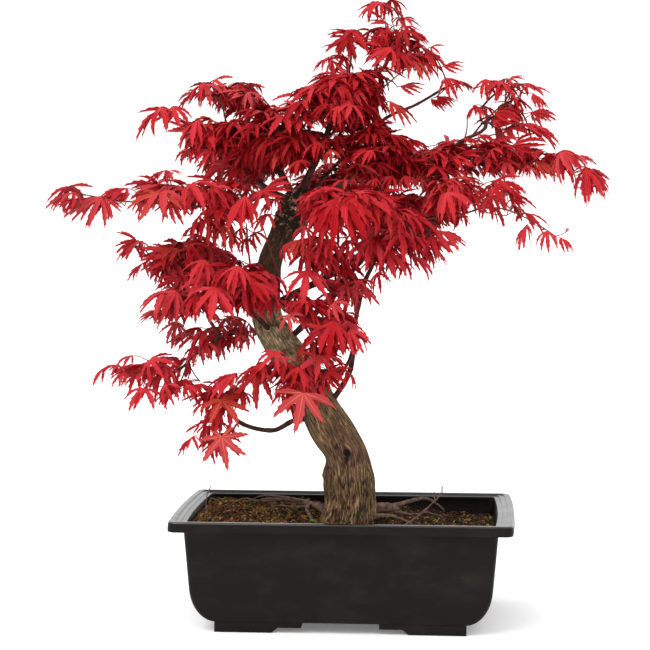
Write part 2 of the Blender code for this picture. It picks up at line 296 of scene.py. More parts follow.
def makeView():
    scene = bpy.context.scene
    scene.view_settings.view_transform = "Standard"
    world = bpy.data.worlds.new("studio")
    world.use_nodes = True
    sky = world.node_tree.nodes["Background"]
    sky.inputs["Color"].default_value = (1.0, 1.0, 1.0, 1.0)
    sky.inputs["Strength"].default_value = view["skyStrength"]
    scene.world = world

    cameraData = bpy.data.cameras.new("camera")
    cameraData.lens = view["lens"]
    cameraData.sensor_width = view["sensor"]
    cameraData.clip_end = view["farthest"]
    camera = bpy.data.objects.new("camera", cameraData)
    camera.matrix_world = Matrix.Translation(view["place"]) @ cameraTurn().to_4x4()
    scene.collection.objects.link(camera)
    scene.camera = camera

    for name, (comesFrom, spread, strength) in view["suns"].items():
        sunData = bpy.data.lights.new(name, "SUN")
        sunData.energy = strength
        sunData.angle = math.radians(spread)
        sun = bpy.data.objects.new(name, sunData)
        sun.rotation_euler = Vector(comesFrom).to_track_quat("Z", "Y").to_euler()
        scene.collection.objects.link(sun)

    floorMesh = bpy.data.meshes.new("floor")
    reach = view["floorReach"]
    floorMesh.from_pydata([(-reach, -reach, 0), (reach, -reach, 0), (reach, reach, 0), (-reach, reach, 0)],
                          [], [(0, 1, 2, 3)])
    white = newMaterial("floorWhite", view["floorColour"], view["floorRoughness"], view["floorSpecular"])
    white.node_tree.nodes["Principled BSDF"].inputs["Emission Strength"].default_value = view["floorGlow"]
    floorMesh.materials.append(white)
    floor = bpy.data.objects.new("floor", floorMesh)
    scene.collection.objects.link(floor)


makeView()
print("camera, light and floor ready")


# trunk

trunk = {
    "seed": 4.0,
    # height, x, y and radius at each change of its line
    "line": ((0.0785, 0.002, -0.025, 0.0228), (0.100, 0.004, -0.024, 0.0212), (0.119, 0.003, -0.023, 0.0210),
             (0.141, 0.0, -0.021, 0.0176), (0.162, -0.013, -0.020, 0.0180), (0.183, -0.025, -0.018, 0.0162),
             (0.206, -0.037, -0.016, 0.0156), (0.231, -0.055, -0.014, 0.0150),
             (0.254, -0.067, -0.013, 0.0128), (0.283, -0.067, -0.011, 0.0110),
             (0.304, -0.064, -0.009, 0.0100), (0.324, -0.055, -0.008, 0.0105),
             (0.342, -0.045, -0.006, 0.0140), (0.352, -0.041, -0.006, 0.0126),
             (0.361, -0.041, -0.005, 0.0085)),
    "rings": 430,
    "sides": 172,
    "foot": 0.0805,
    "flareHeight": 0.034,
    "flareReach": 0.0042,
    "rootLobes": 5,
    "rootTurn": 0.9,
    # share of the radius and pitch of the broad swellings, then height and pitch of the fine grain
    "swell": (0.045, 0.022),
    "grain": (0.00010, 0.0012),
    # height, lift and pitch of the knobs of the callus
    "knobs": (0.0016, 0.001, 0.004),
    "barkRadius": 0.0205,
    "fissureWidth": 0.0021,
    "fissureLength": 0.0125,
    "fissureDeep": 0.0010,
    "fissureShallow": 0.00030,
    "flowReach": 0.0085,
    "roughBelow": 0.128,
    "roughBlend": 0.006,
    "callusAbove": 0.328,
    "callusBlend": 0.004,
    "holeShade": 0.0165,
    "foldSteps": 9,
    "foldShare": 0.55,
}
# scars, nubs and collars: place, how far it reaches round, how deep (-) or proud (+) it stands
trunkMarks = (
    ((0.0024, -0.0385, 0.1425), 0.0027, -0.0056),   # the hole of a lost limb and the folds round it
    ((0.0022, -0.0390, 0.1375), 0.0018, -0.0020),
    ((0.0012, -0.0390, 0.1340), 0.0015, -0.0012),
    ((-0.0085, -0.0370, 0.1515), 0.0050, 0.0014),
    ((0.0105, -0.0370, 0.1445), 0.0055, 0.0011),
    ((0.0020, -0.0390, 0.1270), 0.0080, 0.0014),
    ((-0.0196, -0.023, 0.1220), 0.0030, 0.0026),   # a nub on the left
    ((-0.0175, -0.026, 0.1275), 0.0045, 0.0016),
    ((-0.0240, -0.020, 0.1690), 0.0052, 0.0020),   # collars under the low limbs
    ((-0.0160, -0.018, 0.1780), 0.0046, 0.0012),
    ((0.0230, -0.024, 0.1180), 0.0100, 0.0012),
    ((-0.0600, -0.022, 0.2270), 0.0070, 0.0011),
    ((-0.0640, -0.020, 0.2900), 0.0055, 0.0014),
)
# folds in the bark: from, to, width, depth
trunkFolds = (
    ((-0.0160, -0.0335, 0.1488), (-0.0025, -0.0390, 0.1458), 0.0013, -0.0009),
    ((-0.0150, -0.0335, 0.1312), (-0.0050, -0.0385, 0.1245), 0.0014, -0.0008),
    ((-0.0050, -0.0385, 0.1245), (0.0060, -0.0395, 0.1265), 0.0014, -0.0007),
    ((0.0060, -0.0395, 0.1265), (0.0140, -0.0350, 0.1345), 0.0014, -0.0008),
    ((-0.0215, -0.0190, 0.1600), (-0.0120, -0.0350, 0.1585), 0.0012, -0.0006),
    ((-0.0130, -0.0330, 0.1180), (-0.0080, -0.0370, 0.1020), 0.0012, -0.0007),
    ((0.0180, -0.0330, 0.1260), (0.0160, -0.0350, 0.1060), 0.0013, -0.0008),
)
# swellings (+) and folds (-) that ring the hole: how far from it, how wide, how proud
trunkRings = ((0.0108, 0.0016, -0.0005), (0.0150, 0.0026, 0.0008))


def below(value, middle, blend):
    # 1 well below the middle, 0 well above it
    return 1 / (1 + np.exp((value - middle) / blend))


def barkGroove(around, up):
    # 0 on a ridge of bark, 1 at the bottom of a fissure
    seed = trunk["seed"]
    sway = 0.8 * rough(math.cos(around) * 1.3, math.sin(around) * 1.3, up / 0.03 + seed, 2)
    reach = trunk["barkRadius"] / trunk["fissureWidth"]
    along = up / trunk["fissureLength"]
    x, y = math.cos(around + 0.10 * sway) * reach, math.sin(around + 0.10 * sway) * reach
    lines = abs(noise.noise(Vector((x, y, along + seed + 0.4 * sway))))
    fine = abs(noise.noise(Vector((x * 2.1, y * 2.1, along * 1.9 + seed))))
    return max(0.0, 1 - lines * 3.6) ** 1.3 * 0.75 + max(0.0, 1 - fine * 4.0) * 0.35


def makeTrunk():
    rings, sides = trunk["rings"], trunk["sides"]
    stations = np.array([through(trunk["line"], i / (rings - 1)) for i in range(rings)])
    points, radii = stations[:, (1, 2, 0)] + potMiddle, stations[:, 3]
    travelled = np.concatenate([[0], np.cumsum(np.linalg.norm(np.diff(points, axis=0), axis=1))])
    marks = [(np.array(place) + potMiddle, reach, push) for place, reach, push in trunkMarks]
    for start, end, width, push in trunkFolds:
        places = np.linspace(start, end, trunk["foldSteps"]) + potMiddle
        marks += [(place, width, push * trunk["foldShare"]) for place in places]
    # fissures flow round the hole of the lost limb
    hole = marks[0][0]
    holeRing = int(np.argmin(np.linalg.norm(points - hole, axis=1)))
    toHole = hole - points[holeRing]
    firstAlong = unit(points[1] - points[0])
    firstAcross = unit(np.cross(firstAlong, tubeStart))
    firstAcross = unit(firstAcross - firstAlong * (firstAcross @ firstAlong))
    holeTurn = math.atan2(toHole @ np.cross(firstAlong, firstAcross), toHole @ firstAcross)
    reaches, creases = np.zeros((rings, sides)), np.zeros((rings, sides))
    barkPlaces = np.zeros((rings, sides, 3))
    (swellShare, swellPitch), (grainHeight, grainPitch) = trunk["swell"], trunk["grain"]
    knobHeight, knobLift, knobPitch = trunk["knobs"]
    for i in range(rings):
        z, up, radius = points[i][2], travelled[i], radii[i]
        old = below(z, trunk["roughBelow"], trunk["roughBlend"])
        callus = below(-z, -trunk["callusAbove"], trunk["callusBlend"])
        deep = trunk["fissureShallow"] + (trunk["fissureDeep"] - trunk["fissureShallow"]) * old
        flare = max(0.0, 1 - (z - trunk["foot"]) / trunk["flareHeight"]) ** 2 * trunk["flareReach"]
        for j, a in enumerate(np.arange(sides) * math.tau / sides):
            cos, sin = math.cos(a), math.sin(a)
            beside = (a - holeTurn + math.pi) % math.tau - math.pi
            spread = math.hypot(beside * radius, up - travelled[holeRing]) / trunk["flowReach"]
            flowed = holeTurn + beside * (1 - 0.92 * math.exp(-spread**2))
            barkPlaces[i, j] = math.cos(flowed) * 0.02, math.sin(flowed) * 0.02, up
            creases[i, j] = groove = barkGroove(flowed, up)
            swell = swellShare * rough(cos * 1.1, sin * 1.1, up / swellPitch, 2)
            knobs = callus * (knobHeight * rough(cos * 2.6, sin * 2.6, up / knobPitch) + knobLift)
            grain = grainHeight * rough(cos * 30, sin * 30, up / grainPitch, 2)
            lobes = 0.5 + 0.5 * math.cos(trunk["rootLobes"] * a + trunk["rootTurn"])
            reaches[i, j] = radius * (1 + swell) + flare * lobes - deep * groove + knobs + grain
    verts, quads, tris = tube(points, reaches, sides)
    body = verts[:rings * sides]
    centres = np.repeat(points, sides, axis=0)
    outwards = body - centres
    outwards /= np.linalg.norm(outwards, axis=1, keepdims=True)
    # painted shade: the fissures are darker, more so low down where they are deep
    dark = creases.ravel() * (0.65 + 0.55 * below(centres[:, 2], trunk["roughBelow"], trunk["roughBlend"]))
    fromHole = np.linalg.norm((body - hole) * (1.0, 0.6, 1.0), axis=1)
    pale = np.exp(-(fromHole / trunk["holeShade"]) ** 2)
    for radius, width, push in trunkRings:
        near = np.exp(-((fromHole - radius) / width) ** 2)
        near *= 0.55 + 0.45 * np.sin(np.arctan2(body[:, 2] - hole[2], body[:, 0] - hole[0]) * 2 + 2.4)
        body += outwards * (near * push)[:, None]
        # painted shade in the folds that ring the hole
        if push < 0:
            dark += 0.35 * near
    for place, reach, push in marks:
        near = np.exp(-(np.linalg.norm(body - place, axis=1) / reach) ** 2)
        body += outwards * (near * push)[:, None]
        # painted shade in the hole of the lost limb and in the folds of the bark
        if push < 0:
            dark += min(2.2, -900 * push) * near
    batch = newBatch()
    addShape(batch, verts, quads, tris)
    piece = addPiece("trunkBark", batch, [makeBark()], ["trunk"])
    for name, values in (("creaseShade", dark), ("pale", pale)):
        attribute = piece.data.attributes.new(name, "FLOAT", "POINT")
        attribute.data.foreach_set("value", np.append(values, (0, 0)).astype(np.float32))
    attribute = piece.data.attributes.new("barkPlace", "FLOAT_VECTOR", "POINT")
    places = np.concatenate([barkPlaces.reshape(-1, 3), [(0, 0, 0), (0, 0, travelled[-1])]])
    attribute.data.foreach_set("vector", places.astype(np.float32).ravel())


barkLook = {
    "ridge": (0.315, 0.208, 0.106),
    "middle": (0.074, 0.040, 0.020),
    # the colour of the painted shade in the fissures, the folds and the hole
    "fissureShade": (0.015, 0.0070, 0.0055),
    "olive": (0.082, 0.066, 0.018),
    "red": (0.090, 0.036, 0.020),
    "smooth": (0.130, 0.088, 0.042),
    # young smooth bark: paler than the rest, partly its own colour and partly a painted highlight
    "young": (0.560, 0.450, 0.270),
    "pale": (0.185, 0.096, 0.060),
    "callus": (0.105, 0.056, 0.030),
    "scab": (0.520, 0.340, 0.190),
    "scabShade": (0.022, 0.011, 0.007),
    # heights that the zones below share out, then where each kind of bark starts and ends and how much it
    # shows
    "zoneHeights": (0.05, 0.36),
    "oldZone": ((0.10, 1), (0.30, 0)),
    "youngZone": ((0.48, 0), (0.56, 1), (0.67, 1), (0.75, 0)),
    "upperZone": ((0.68, 0), (0.76, 0.75)),
    "callusZone": ((0.84, 0), (0.92, 1)),
    "crackZone": ((0.24, 1), (0.38, 0.35)),
    # long lens-shaped plates between narrow cracks, and finer streaks on them
    "cracks": ((0.38, (1.42, 1.40, 1.36)), (0.465, (1.06, 1.04, 1.00)), (0.50, (0.04, 0.03, 0.02)),
               (0.535, (1.06, 1.04, 1.00)), (0.64, (1.55, 1.52, 1.46))),
    "streaks": ((0.40, (0.30, 0.27, 0.24)), (0.50, (0.92, 0.89, 0.86)), (0.60, (1.85, 1.80, 1.70))),
    "streakShare": 0.75,
}


def makeBark():
    look = barkLook
    made = newMaterial("trunkBark", look["middle"], 0.88, 0.25)
    height = rangeOn(made, axisValue(made, "Z"), look["zoneHeights"])

    def zone(name):
        return rampOn(made, height, look[name])

    def lengthwise(scale, stretch, detail, stops):
        # a pattern that follows the trunk's own length and its flow round the hole
        return rampOn(made, noiseValue(made, scale, detail, (1, 1, stretch), 0.6, "barkPlace"), stops)

    def patches(scale, detail, *stops):
        return rampOn(made, noiseValue(made, scale, detail), stops)

    colour = lengthwise(560, 0.12, 5, ((0.36, look["middle"]), (0.50, look["ridge"]), (0.66, look["middle"])))
    colour = mixNode(made, colour, look["red"], patches(60, 4, (0.45, 0), (0.62, 0.65)))
    # young smooth bark in patches, its pale end partly a painted highlight
    smooth = patches(150, 6, (0.36, look["smooth"]), (0.58, look["young"]))
    colour = mixNode(made, colour, smooth, zone("youngZone"))
    colour = mixNode(made, colour, look["callus"], zone("upperZone"))
    scabs = patches(260, 6, (0.54, look["scabShade"]), (0.66, look["scab"]))
    colour = mixNode(made, colour, scabs, zone("callusZone"))
    moss = mixNode(made, (0, 0, 0), patches(70, 5, (0.46, 0), (0.62, 0.75)), zone("oldZone"))
    colour = mixNode(made, colour, look["olive"], moss)
    colour = mixNode(made, colour, look["pale"], attributeValue(made, "pale"))
    cracks = lengthwise(470, 0.065, 3, look["cracks"])
    streaks = lengthwise(1700, 0.080, 4, look["streaks"])
    colour = mixNode(made, colour, cracks, zone("crackZone"), "MULTIPLY")
    colour = mixNode(made, colour, streaks, look["streakShare"], "MULTIPLY")
    # painted shade: the fissures, the folds and the hole are mixed towards a near-black brown
    colour = mixNode(made, colour, look["fissureShade"], attributeValue(made, "creaseShade"))
    setInput(made, "Base Color", colour)
    addBump(made, mixNode(made, cracks, streaks, 0.4), 0.8, 0.0009)
    return made


makeTrunk()
print("trunk made")


# boughs

# radius at the trunk and at the far end, and the points that each bough passes
boughs = {
    "bough_low_left": (0.0030, 0.0020, ((-0.024, -0.018, 0.169), (-0.043, -0.026, 0.168),
                                        (-0.061, -0.030, 0.160),
                                        (-0.086, -0.036, 0.166), (-0.100, -0.041, 0.182))),
    "bough_low_right": (0.0031, 0.0022, ((-0.016, -0.018, 0.178), (0.001, -0.024, 0.204),
                                         (0.006, -0.029, 0.222), (0.008, -0.032, 0.250),
                                         (0.016, -0.042, 0.284),
                                         (0.026, -0.052, 0.304))),
    "bough_mid_left": (0.0028, 0.0022, ((-0.057, -0.018, 0.236), (-0.073, -0.033, 0.254),
                                        (-0.086, -0.046, 0.268))),
    "bough_right_main": (0.0042, 0.0028, ((-0.064, -0.010, 0.263), (-0.040, -0.012, 0.276),
                                          (-0.014, -0.019, 0.290),
                                          (0.008, -0.030, 0.305), (0.030, -0.052, 0.322))),
    "bough_right_low": (0.0034, 0.0024, ((-0.052, -0.014, 0.232), (-0.022, -0.024, 0.262),
                                         (0.002, -0.036, 0.290),
                                         (0.022, -0.050, 0.312))),
    "bough_left_arm": (0.0040, 0.0028, ((-0.044, -0.007, 0.348), (-0.062, -0.018, 0.358),
                                        (-0.080, -0.030, 0.353),
                                        (-0.098, -0.040, 0.345))),
    "bough_upper_left": (0.0044, 0.0032, ((-0.044, -0.005, 0.352), (-0.054, -0.005, 0.370),
                                          (-0.066, -0.005, 0.392))),
    "bough_top": (0.0046, 0.0028, ((-0.041, -0.004, 0.354), (-0.031, -0.004, 0.378), (-0.020, -0.003, 0.402),
                                   (-0.010, 0.0, 0.436))),
    "bough_upper_right": (0.0023, 0.0012, ((-0.038, -0.001, 0.351), (-0.010, 0.014, 0.384),
                                           (0.028, 0.010, 0.420),
                                           (0.058, 0.003, 0.434), (0.085, -0.004, 0.450))),
    "bough_right_arm": (0.0046, 0.0034, ((-0.038, -0.009, 0.349), (-0.012, -0.012, 0.362),
                                         (0.030, -0.004, 0.382))),
    "bough_back_left": (0.0040, 0.0026, ((-0.046, -0.001, 0.348), (-0.072, 0.034, 0.362),
                                         (-0.100, 0.082, 0.382))),
    "bough_back_right": (0.0042, 0.0028, ((-0.040, 0.000, 0.345), (-0.006, 0.040, 0.358),
                                          (0.050, 0.088, 0.384))),
}
# thin bare shoots that leave the boughs: radius at both ends, then the places that each passes, as seenAt
# takes them
shootSpots = (
    (0.0011, 0.0007, ((288, 301, -12), (289, 297, -26), (277, 270, -31), (268, 243, -34), (261, 221, -36))),
    (0.0015, 0.0009, ((244, 305, -45), (252, 288, -44), (250, 265, -42), (248, 245, -40), (246, 222, -40))),
    (0.0012, 0.0007, ((242, 302, -46), (233, 276, -44), (226, 252, -44), (221, 226, -44))),
    (0.0014, 0.0006, ((250, 199, -30), (225, 205, -41), (190, 206, -46), (150, 203, -50), (112, 200, -52),
                      (78, 193, -52))),
    (0.0012, 0.0005, ((337, 103, 0), (356, 94, 0), (375, 70, 0), (382, 54, 0), (386, 38, 0), (384, 8, 0))),
    (0.0011, 0.0005, ((332, 115, -1), (350, 109, 0), (362, 102, 0), (380, 90, 0), (402, 72, 2),
                      (420, 62, 4))),
    (0.0009, 0.0005, ((448, 86, -4), (460, 84, -2), (474, 88, 0), (488, 83, 2))),
    (0.0016, 0.0006, ((384, 165, -4), (422, 158, -4), (464, 142, -2), (482, 124, 2), (500, 107, 6),
                      (518, 97, 8))),
    (0.0008, 0.0005, ((464, 142, -2), (467, 128, -4), (467, 114, -6))),
    (0.0008, 0.0005, ((465, 141, -2), (492, 135, 0), (510, 131, 2), (524, 122, 2))),
    (0.0015, 0.0005, ((381, 238, -52), (420, 221, -55), (462, 214, -56), (484, 208, -58), (507, 210, -60),
                      (532, 221, -60), (556, 236, -58))),
)
shoots = [(first, last, [seenAt(*spot) for spot in spots]) for first, last, spots in shootSpots]
limbs = [*boughs.values(), *shoots]
boughLook = {
    "ringGap": 0.0017,
    "thinBelow": 0.0018,
    "shoot": (0.130, 0.024, 0.020),
    "slim": 0.78,
    "sides": 16,
    "collarSwell": 0.7,
    "collarReach": 0.005,
    "knotGap": 0.019,
    "knotReach": 0.0018,
    "knotSwell": 0.15,
    "relief": 0.06,
    "reliefPitch": 0.005,
    "tipTaper": 0.55,
    "tipShare": 0.1,
    "dark": (0.026, 0.0095, 0.0080),
    "light": (0.098, 0.036, 0.029),
}


def routePoints(route, gap):
    coarse = [through(route, i / 60) for i in range(61)]
    length = sum(np.linalg.norm(b - a) for a, b in zip(coarse, coarse[1:]))
    count = max(5, round(length / gap)) + 1
    return np.array([through(route, i / (count - 1)) for i in range(count)]) + potMiddle, length


def makeBoughMaterial():
    made = newMaterial("boughBark", boughLook["dark"], 0.8, 0.15)
    mottle = noiseValue(made, 260, 5, (1, 1, 0.6))
    stops = ((0.35, boughLook["dark"]), (0.75, boughLook["light"]))
    setInput(made, "Base Color", rampOn(made, mottle, stops))
    addBump(made, noiseValue(made, 1100, 4), 0.35, 0.0004)
    return made


def makeBoughs():
    batch = newBatch()
    look = boughLook
    for number, (first, last, route) in enumerate(limbs):
        thin = int(first < look["thinBelow"])
        sides = look["sides"] // (1 + thin)
        points, length = routePoints(route, look["ringGap"])
        radii = np.zeros((len(points), sides))
        for i, part in enumerate(np.linspace(0, 1, len(points))):
            up = part * length
            radius = (first + (last - first) * part) * look["slim"]
            radius *= 1 + look["collarSwell"] * math.exp(-(up / look["collarReach"]) ** 2)
            knot = abs((up / look["knotGap"] + 0.37 * number) % 1 - 0.5) * look["knotGap"]
            radius *= 1 + look["knotSwell"] * math.exp(-(knot / look["knotReach"]) ** 2)
            radius *= 1 - (1 - look["tipTaper"]) * max(0.0, (part - 1 + look["tipShare"]) / look["tipShare"])
            for j, a in enumerate(np.arange(sides) * math.tau / sides):
                bark = rough(math.cos(a) * 1.6 + 7 * number, math.sin(a) * 1.6, up / look["reliefPitch"])
                radii[i, j] = radius * (1 + look["relief"] * bark)
        addShape(batch, *tube(points, radii, sides), thin, thin)
    materials = [makeBoughMaterial(), newMaterial("shootBark", look["shoot"], 0.6, 0.2)]
    addPiece("boughs", batch, materials, boughs)


makeBoughs()
print("boughs made")


# foliage masses of the frame, as the room that leaves and twigs fill

def readMasses():
    masses = []
    for name, node in sorted(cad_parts.items()):
        if not name.startswith("leaves_"):
            continue
        verts = np.array([vert.co for vert in node.data.vertices])
        faces = [tuple(face.vertices) for face in node.data.polygons]
        tree = BVHTree.FromPolygons([Vector(v) for v in verts], faces)
        masses.append({"name": name, "verts": verts, "faces": np.array(faces), "tree": tree,
                       "low": verts.min(0), "high": verts.max(0),
                       "middle": (verts.min(0) + verts.max(0)) / 2})
    return masses


masses = readMasses()


def depthIn(mass, point):
    # how deep a point lies in a mass; below 0 is outside it
    near, normal, _, distance = mass["tree"].find_nearest(Vector(point))
    inside = (Vector(point) - near).dot(normal) < 0
    return distance if inside else -distance


def depthInCrown(point, reach):
    # how deep a point lies in the crown as a whole, down to -reach outside it
    best = -1.0
    for mass in masses:
        if np.all(point > mass["low"] - reach) and np.all(point < mass["high"] + reach):
            best = max(best, depthIn(mass, point))
    return best


def touchingMasses():
    gap = growth["touchGap"]
    touch = np.eye(len(masses), dtype=bool)
    for (a, first), (b, second) in itertools.combinations(enumerate(masses), 2):
        if np.all(first["low"] < second["high"] + gap) and np.all(second["low"] < first["high"] + gap):
            near = any(second["tree"].find_nearest(Vector(vert), gap)[0] is not None
                       for vert in first["verts"])
            touch[a, b] = touch[b, a] = near
    return touch


# leaf shapes

leafLook = {
    "length": 0.0340,
    "lobeTurns": (0.0, 39.0, 79.0, 120.0),
    "lobeLengths": (1.0, 0.96, 0.82, 0.50),
    "outlineAt": (0.0, 0.22, 0.32, 0.44, 0.58, 0.74, 0.87, 1.0),
    "outlineWidth": (0.03, 0.064, 0.092, 0.114, 0.103, 0.060, 0.023, 0.0),
    "webReach": 0.27,
    "teeth": 4,
    "innerTeeth": 2,
    "toothDepth": 0.021,
    "veinWidth": 0.0100,
    "shapesEach": 5,
    # how much leaves differ: turn, droop, curl and fold in degrees, then shares of length and sway
    "differs": {"turn": 3.5, "droop": 6.0, "curl": 9.0, "fold": 9.0, "length": 0.05, "sway": 0.14},
    # droop where the lobes start, how much more they curl to their tips, how far they fan out, fold and
    # breadth
    "kinds": {"flat": (5.0, 20.0, 1.17, 28.0, 1.0), "open": (14.0, 34.0, 1.06, 33.0, 0.96),
              "half": (30.0, 38.0, 0.90, 42.0, 0.92), "closed": (50.0, 28.0, 0.74, 48.0, 0.86)},
}


def makeLeafShape(rng, lobes, teeth, droop, curl, fan, fold, breadth):
    # the leaf's base is at the origin, its middle lobe runs along +Y and its upper face looks along +Z
    half = lobes // 2
    order = range(-half, half + 1)
    differs = leafLook["differs"]

    def near(value, name):
        return math.radians(value + rng.normal(0, differs[name]))

    turns = [near(np.sign(k) * leafLook["lobeTurns"][abs(k)] * fan, "turn") for k in order]
    lengths = [leafLook["lobeLengths"][abs(k)] * (1 + rng.normal(0, differs["length"])) for k in order]
    droops = [near(droop, "droop") for _ in order]
    curls = [near(curl, "curl") for _ in order]
    folds = [near(fold, "fold") for _ in order]
    sways = [rng.normal(0, differs["sway"]) for _ in order]
    steps = 2 + 2 * teeth
    verts = [(0.0, 0.0, 0.0)]

    def spot(i, distance, across, lift):
        bend = curls[i] / lengths[i]
        bend = bend if abs(bend) > 0.02 else 0.02
        slope = droops[i] + bend * distance
        out = (math.sin(slope) - math.sin(droops[i])) / bend
        down = (math.cos(droops[i]) - math.cos(slope)) / bend
        heading = turns[i] + sways[i] * (distance / lengths[i]) ** 1.5
        sin, cos = math.sin(heading), math.cos(heading)
        ahead = out + lift * math.sin(slope)
        return (sin * ahead + cos * across, cos * ahead - sin * across, lift * math.cos(slope) - down)

    def keep(place):
        verts.append(place)
        return len(verts) - 1

    webs = []
    for i in range(lobes - 1):
        reach = leafLook["webReach"] * min(lengths[i], lengths[i + 1]) * breadth
        reach *= 1 + rng.normal(0, differs["length"])
        gap = (turns[i + 1] - turns[i]) / 2
        pair = []
        for part in (0.5, 1.0):
            ahead, across = reach * part * math.cos(gap), reach * part * math.sin(gap)
            rise = across * math.sin(math.radians(fold)) * 0.7
            sides = spot(i, ahead, across, rise), spot(i + 1, ahead, -across, rise)
            pair.append(keep(tuple(np.mean(sides, 0))))
        webs.append((reach * math.cos(gap), pair))

    quads, tris, quadVein, triVein, tips = [], [], [], [], []
    for i in range(lobes):
        length = lengths[i]
        sides = []
        for side in (-1, 1):
            neighbour = i if side > 0 else i - 1
            shared = webs[neighbour] if 0 <= neighbour < lobes - 1 else None
            start = shared[0] if shared else 0.16 * length
            edge = list(shared[1]) if shared else []
            first = 3 if shared else 1
            for k in range(first, steps + 1):
                part = (k - 2) / (steps - 1.0) if shared else k / (steps + 1.0)
                distance = start + (length * 0.97 - start) * part if shared else 0.97 * length * part
                width = np.interp(distance / length, leafLook["outlineAt"], leafLook["outlineWidth"])
                width = width * length * breadth
                if k > 2:
                    tooth = leafLook["toothDepth"] * length * min(1.0, width / (0.07 * length))
                    width += tooth if k % 2 else -0.35 * tooth
                    distance += (0.30 if k % 2 else -0.12) * length / steps
                rise = width * math.sin(folds[i])
                edge.append(keep(spot(i, distance, side * width * math.cos(folds[i]), rise)))
            sides.append((start, edge))
        start = (sides[0][0] + sides[1][0]) / 2
        veins = []
        for k in range(1, steps + 1):
            distance = start * k / 2 if k < 3 else start + (length * 0.96 - start) * (k - 2) / (steps - 1.0)
            width = leafLook["veinWidth"] * (1 - 0.8 * distance / length)
            veins.append((keep(spot(i, distance, -width, 0)), keep(spot(i, distance, width, 0))))
        tip = keep(spot(i, length, 0, 0))
        tips.append(tip)
        left, right = sides[0][1], sides[1][1]
        tris += [(0, right[0], veins[0][1]), (0, veins[0][1], veins[0][0]), (0, veins[0][0], left[0])]
        triVein += [False, True, False]
        for k in range(steps - 1):
            (a, b), (c, d) = veins[k], veins[k + 1]
            quads += [(b, right[k], right[k + 1], d), (a, b, d, c), (left[k], a, c, left[k + 1])]
            quadVein += [False, True, False]
        a, b = veins[-1]
        tris += [(b, right[-1], tip), (a, b, tip), (left[-1], a, tip)]
        triVein += [False, True, False]
    chord = np.linalg.norm(verts[tips[half]])
    return {"verts": np.array(verts), "quads": np.array(quads), "tris": np.array(tris), "tips": tips,
            "quadVein": np.array(quadVein), "triVein": np.array(triVein), "chord": chord}


def makeLeafShapes(rng):
    shapes = {}
    for kind, look in leafLook["kinds"].items():
        outer, inner = shapes.setdefault(kind, []), shapes.setdefault("inner " + kind, [])
        for number in range(leafLook["shapesEach"]):
            lobes = 5 if number % 3 == 2 else 7
            outer.append(makeLeafShape(rng, lobes, leafLook["teeth"], *look))
            inner.append(makeLeafShape(rng, lobes, leafLook["innerTeeth"], *look))
    return shapes


# where the leaves go

foliage = {
    "seed": 11,
    "spacing": 0.0172,
    "triesEach": 700,
    # sizes against the leaf's own length: at first, then the smaller ones that are tried
    "sizes": (0.84, 1.14),
    "smaller": (0.80, 0.66),
    "innerSizes": (0.56, 0.86),
    "petiole": (0.010, 0.021),
    "shareJoint": 0.0075,
    "innerLeaves": 620,
    "innerDepth": 0.005,
    "topBaseDepth": 0.007,
    # how much a leaf heads along the surface's way out, away from the tree's middle and from its own mass's
    "ways": (1.0, 0.7, 0.4),
    # degrees that a leaf leans less on top, more below and more at the front
    "leans": (14, 20, 6),
    # share of flat, open, half open and closed leaves, and what the front adds to it
    "kindShares": (0.14, 0.40, 0.32, 0.14),
    "frontShares": (0.20, 0.0, 0.0, -0.06),
    "warmShare": 0.035,
    "mostCovered": 0.12,
    "mostOverlap": 0.2,
    "tipsProud": 0.003,
}
# which way the upper face of a set leaf looks
faceWays = {"front": (0.0, -1.0, 0.3), "up": (0.0, -0.55, 1.0), "left": (-1.0, -0.7, 0.6),
            "right": (1.0, -0.7, 0.6)}
# plain tints from dark to light: lit and shaded copies of the leaf red, dealt out by spray as painted shade
# in the heart of the crown and painted light on the outer leaves, with some real spread between leaves; the
# last is a warmer one
leafLitAndShadedTints = ((0.275, 0.0050, 0.0072), (0.375, 0.0086, 0.0130), (0.430, 0.0130, 0.0195),
             (0.452, 0.0188, 0.0270), (0.458, 0.0268, 0.0360), (0.460, 0.0365, 0.0465),
             (0.390, 0.0370, 0.0420),
             (0.385, 0.0290, 0.0190))
veinTints = {"veinRed": (0.520, 0.034, 0.030), "veinOrange": (0.500, 0.130, 0.050)}
twigTints = {"old": (0.060, 0.019, 0.014), "young": (0.150, 0.015, 0.016), "petiole": (0.300, 0.014, 0.018)}
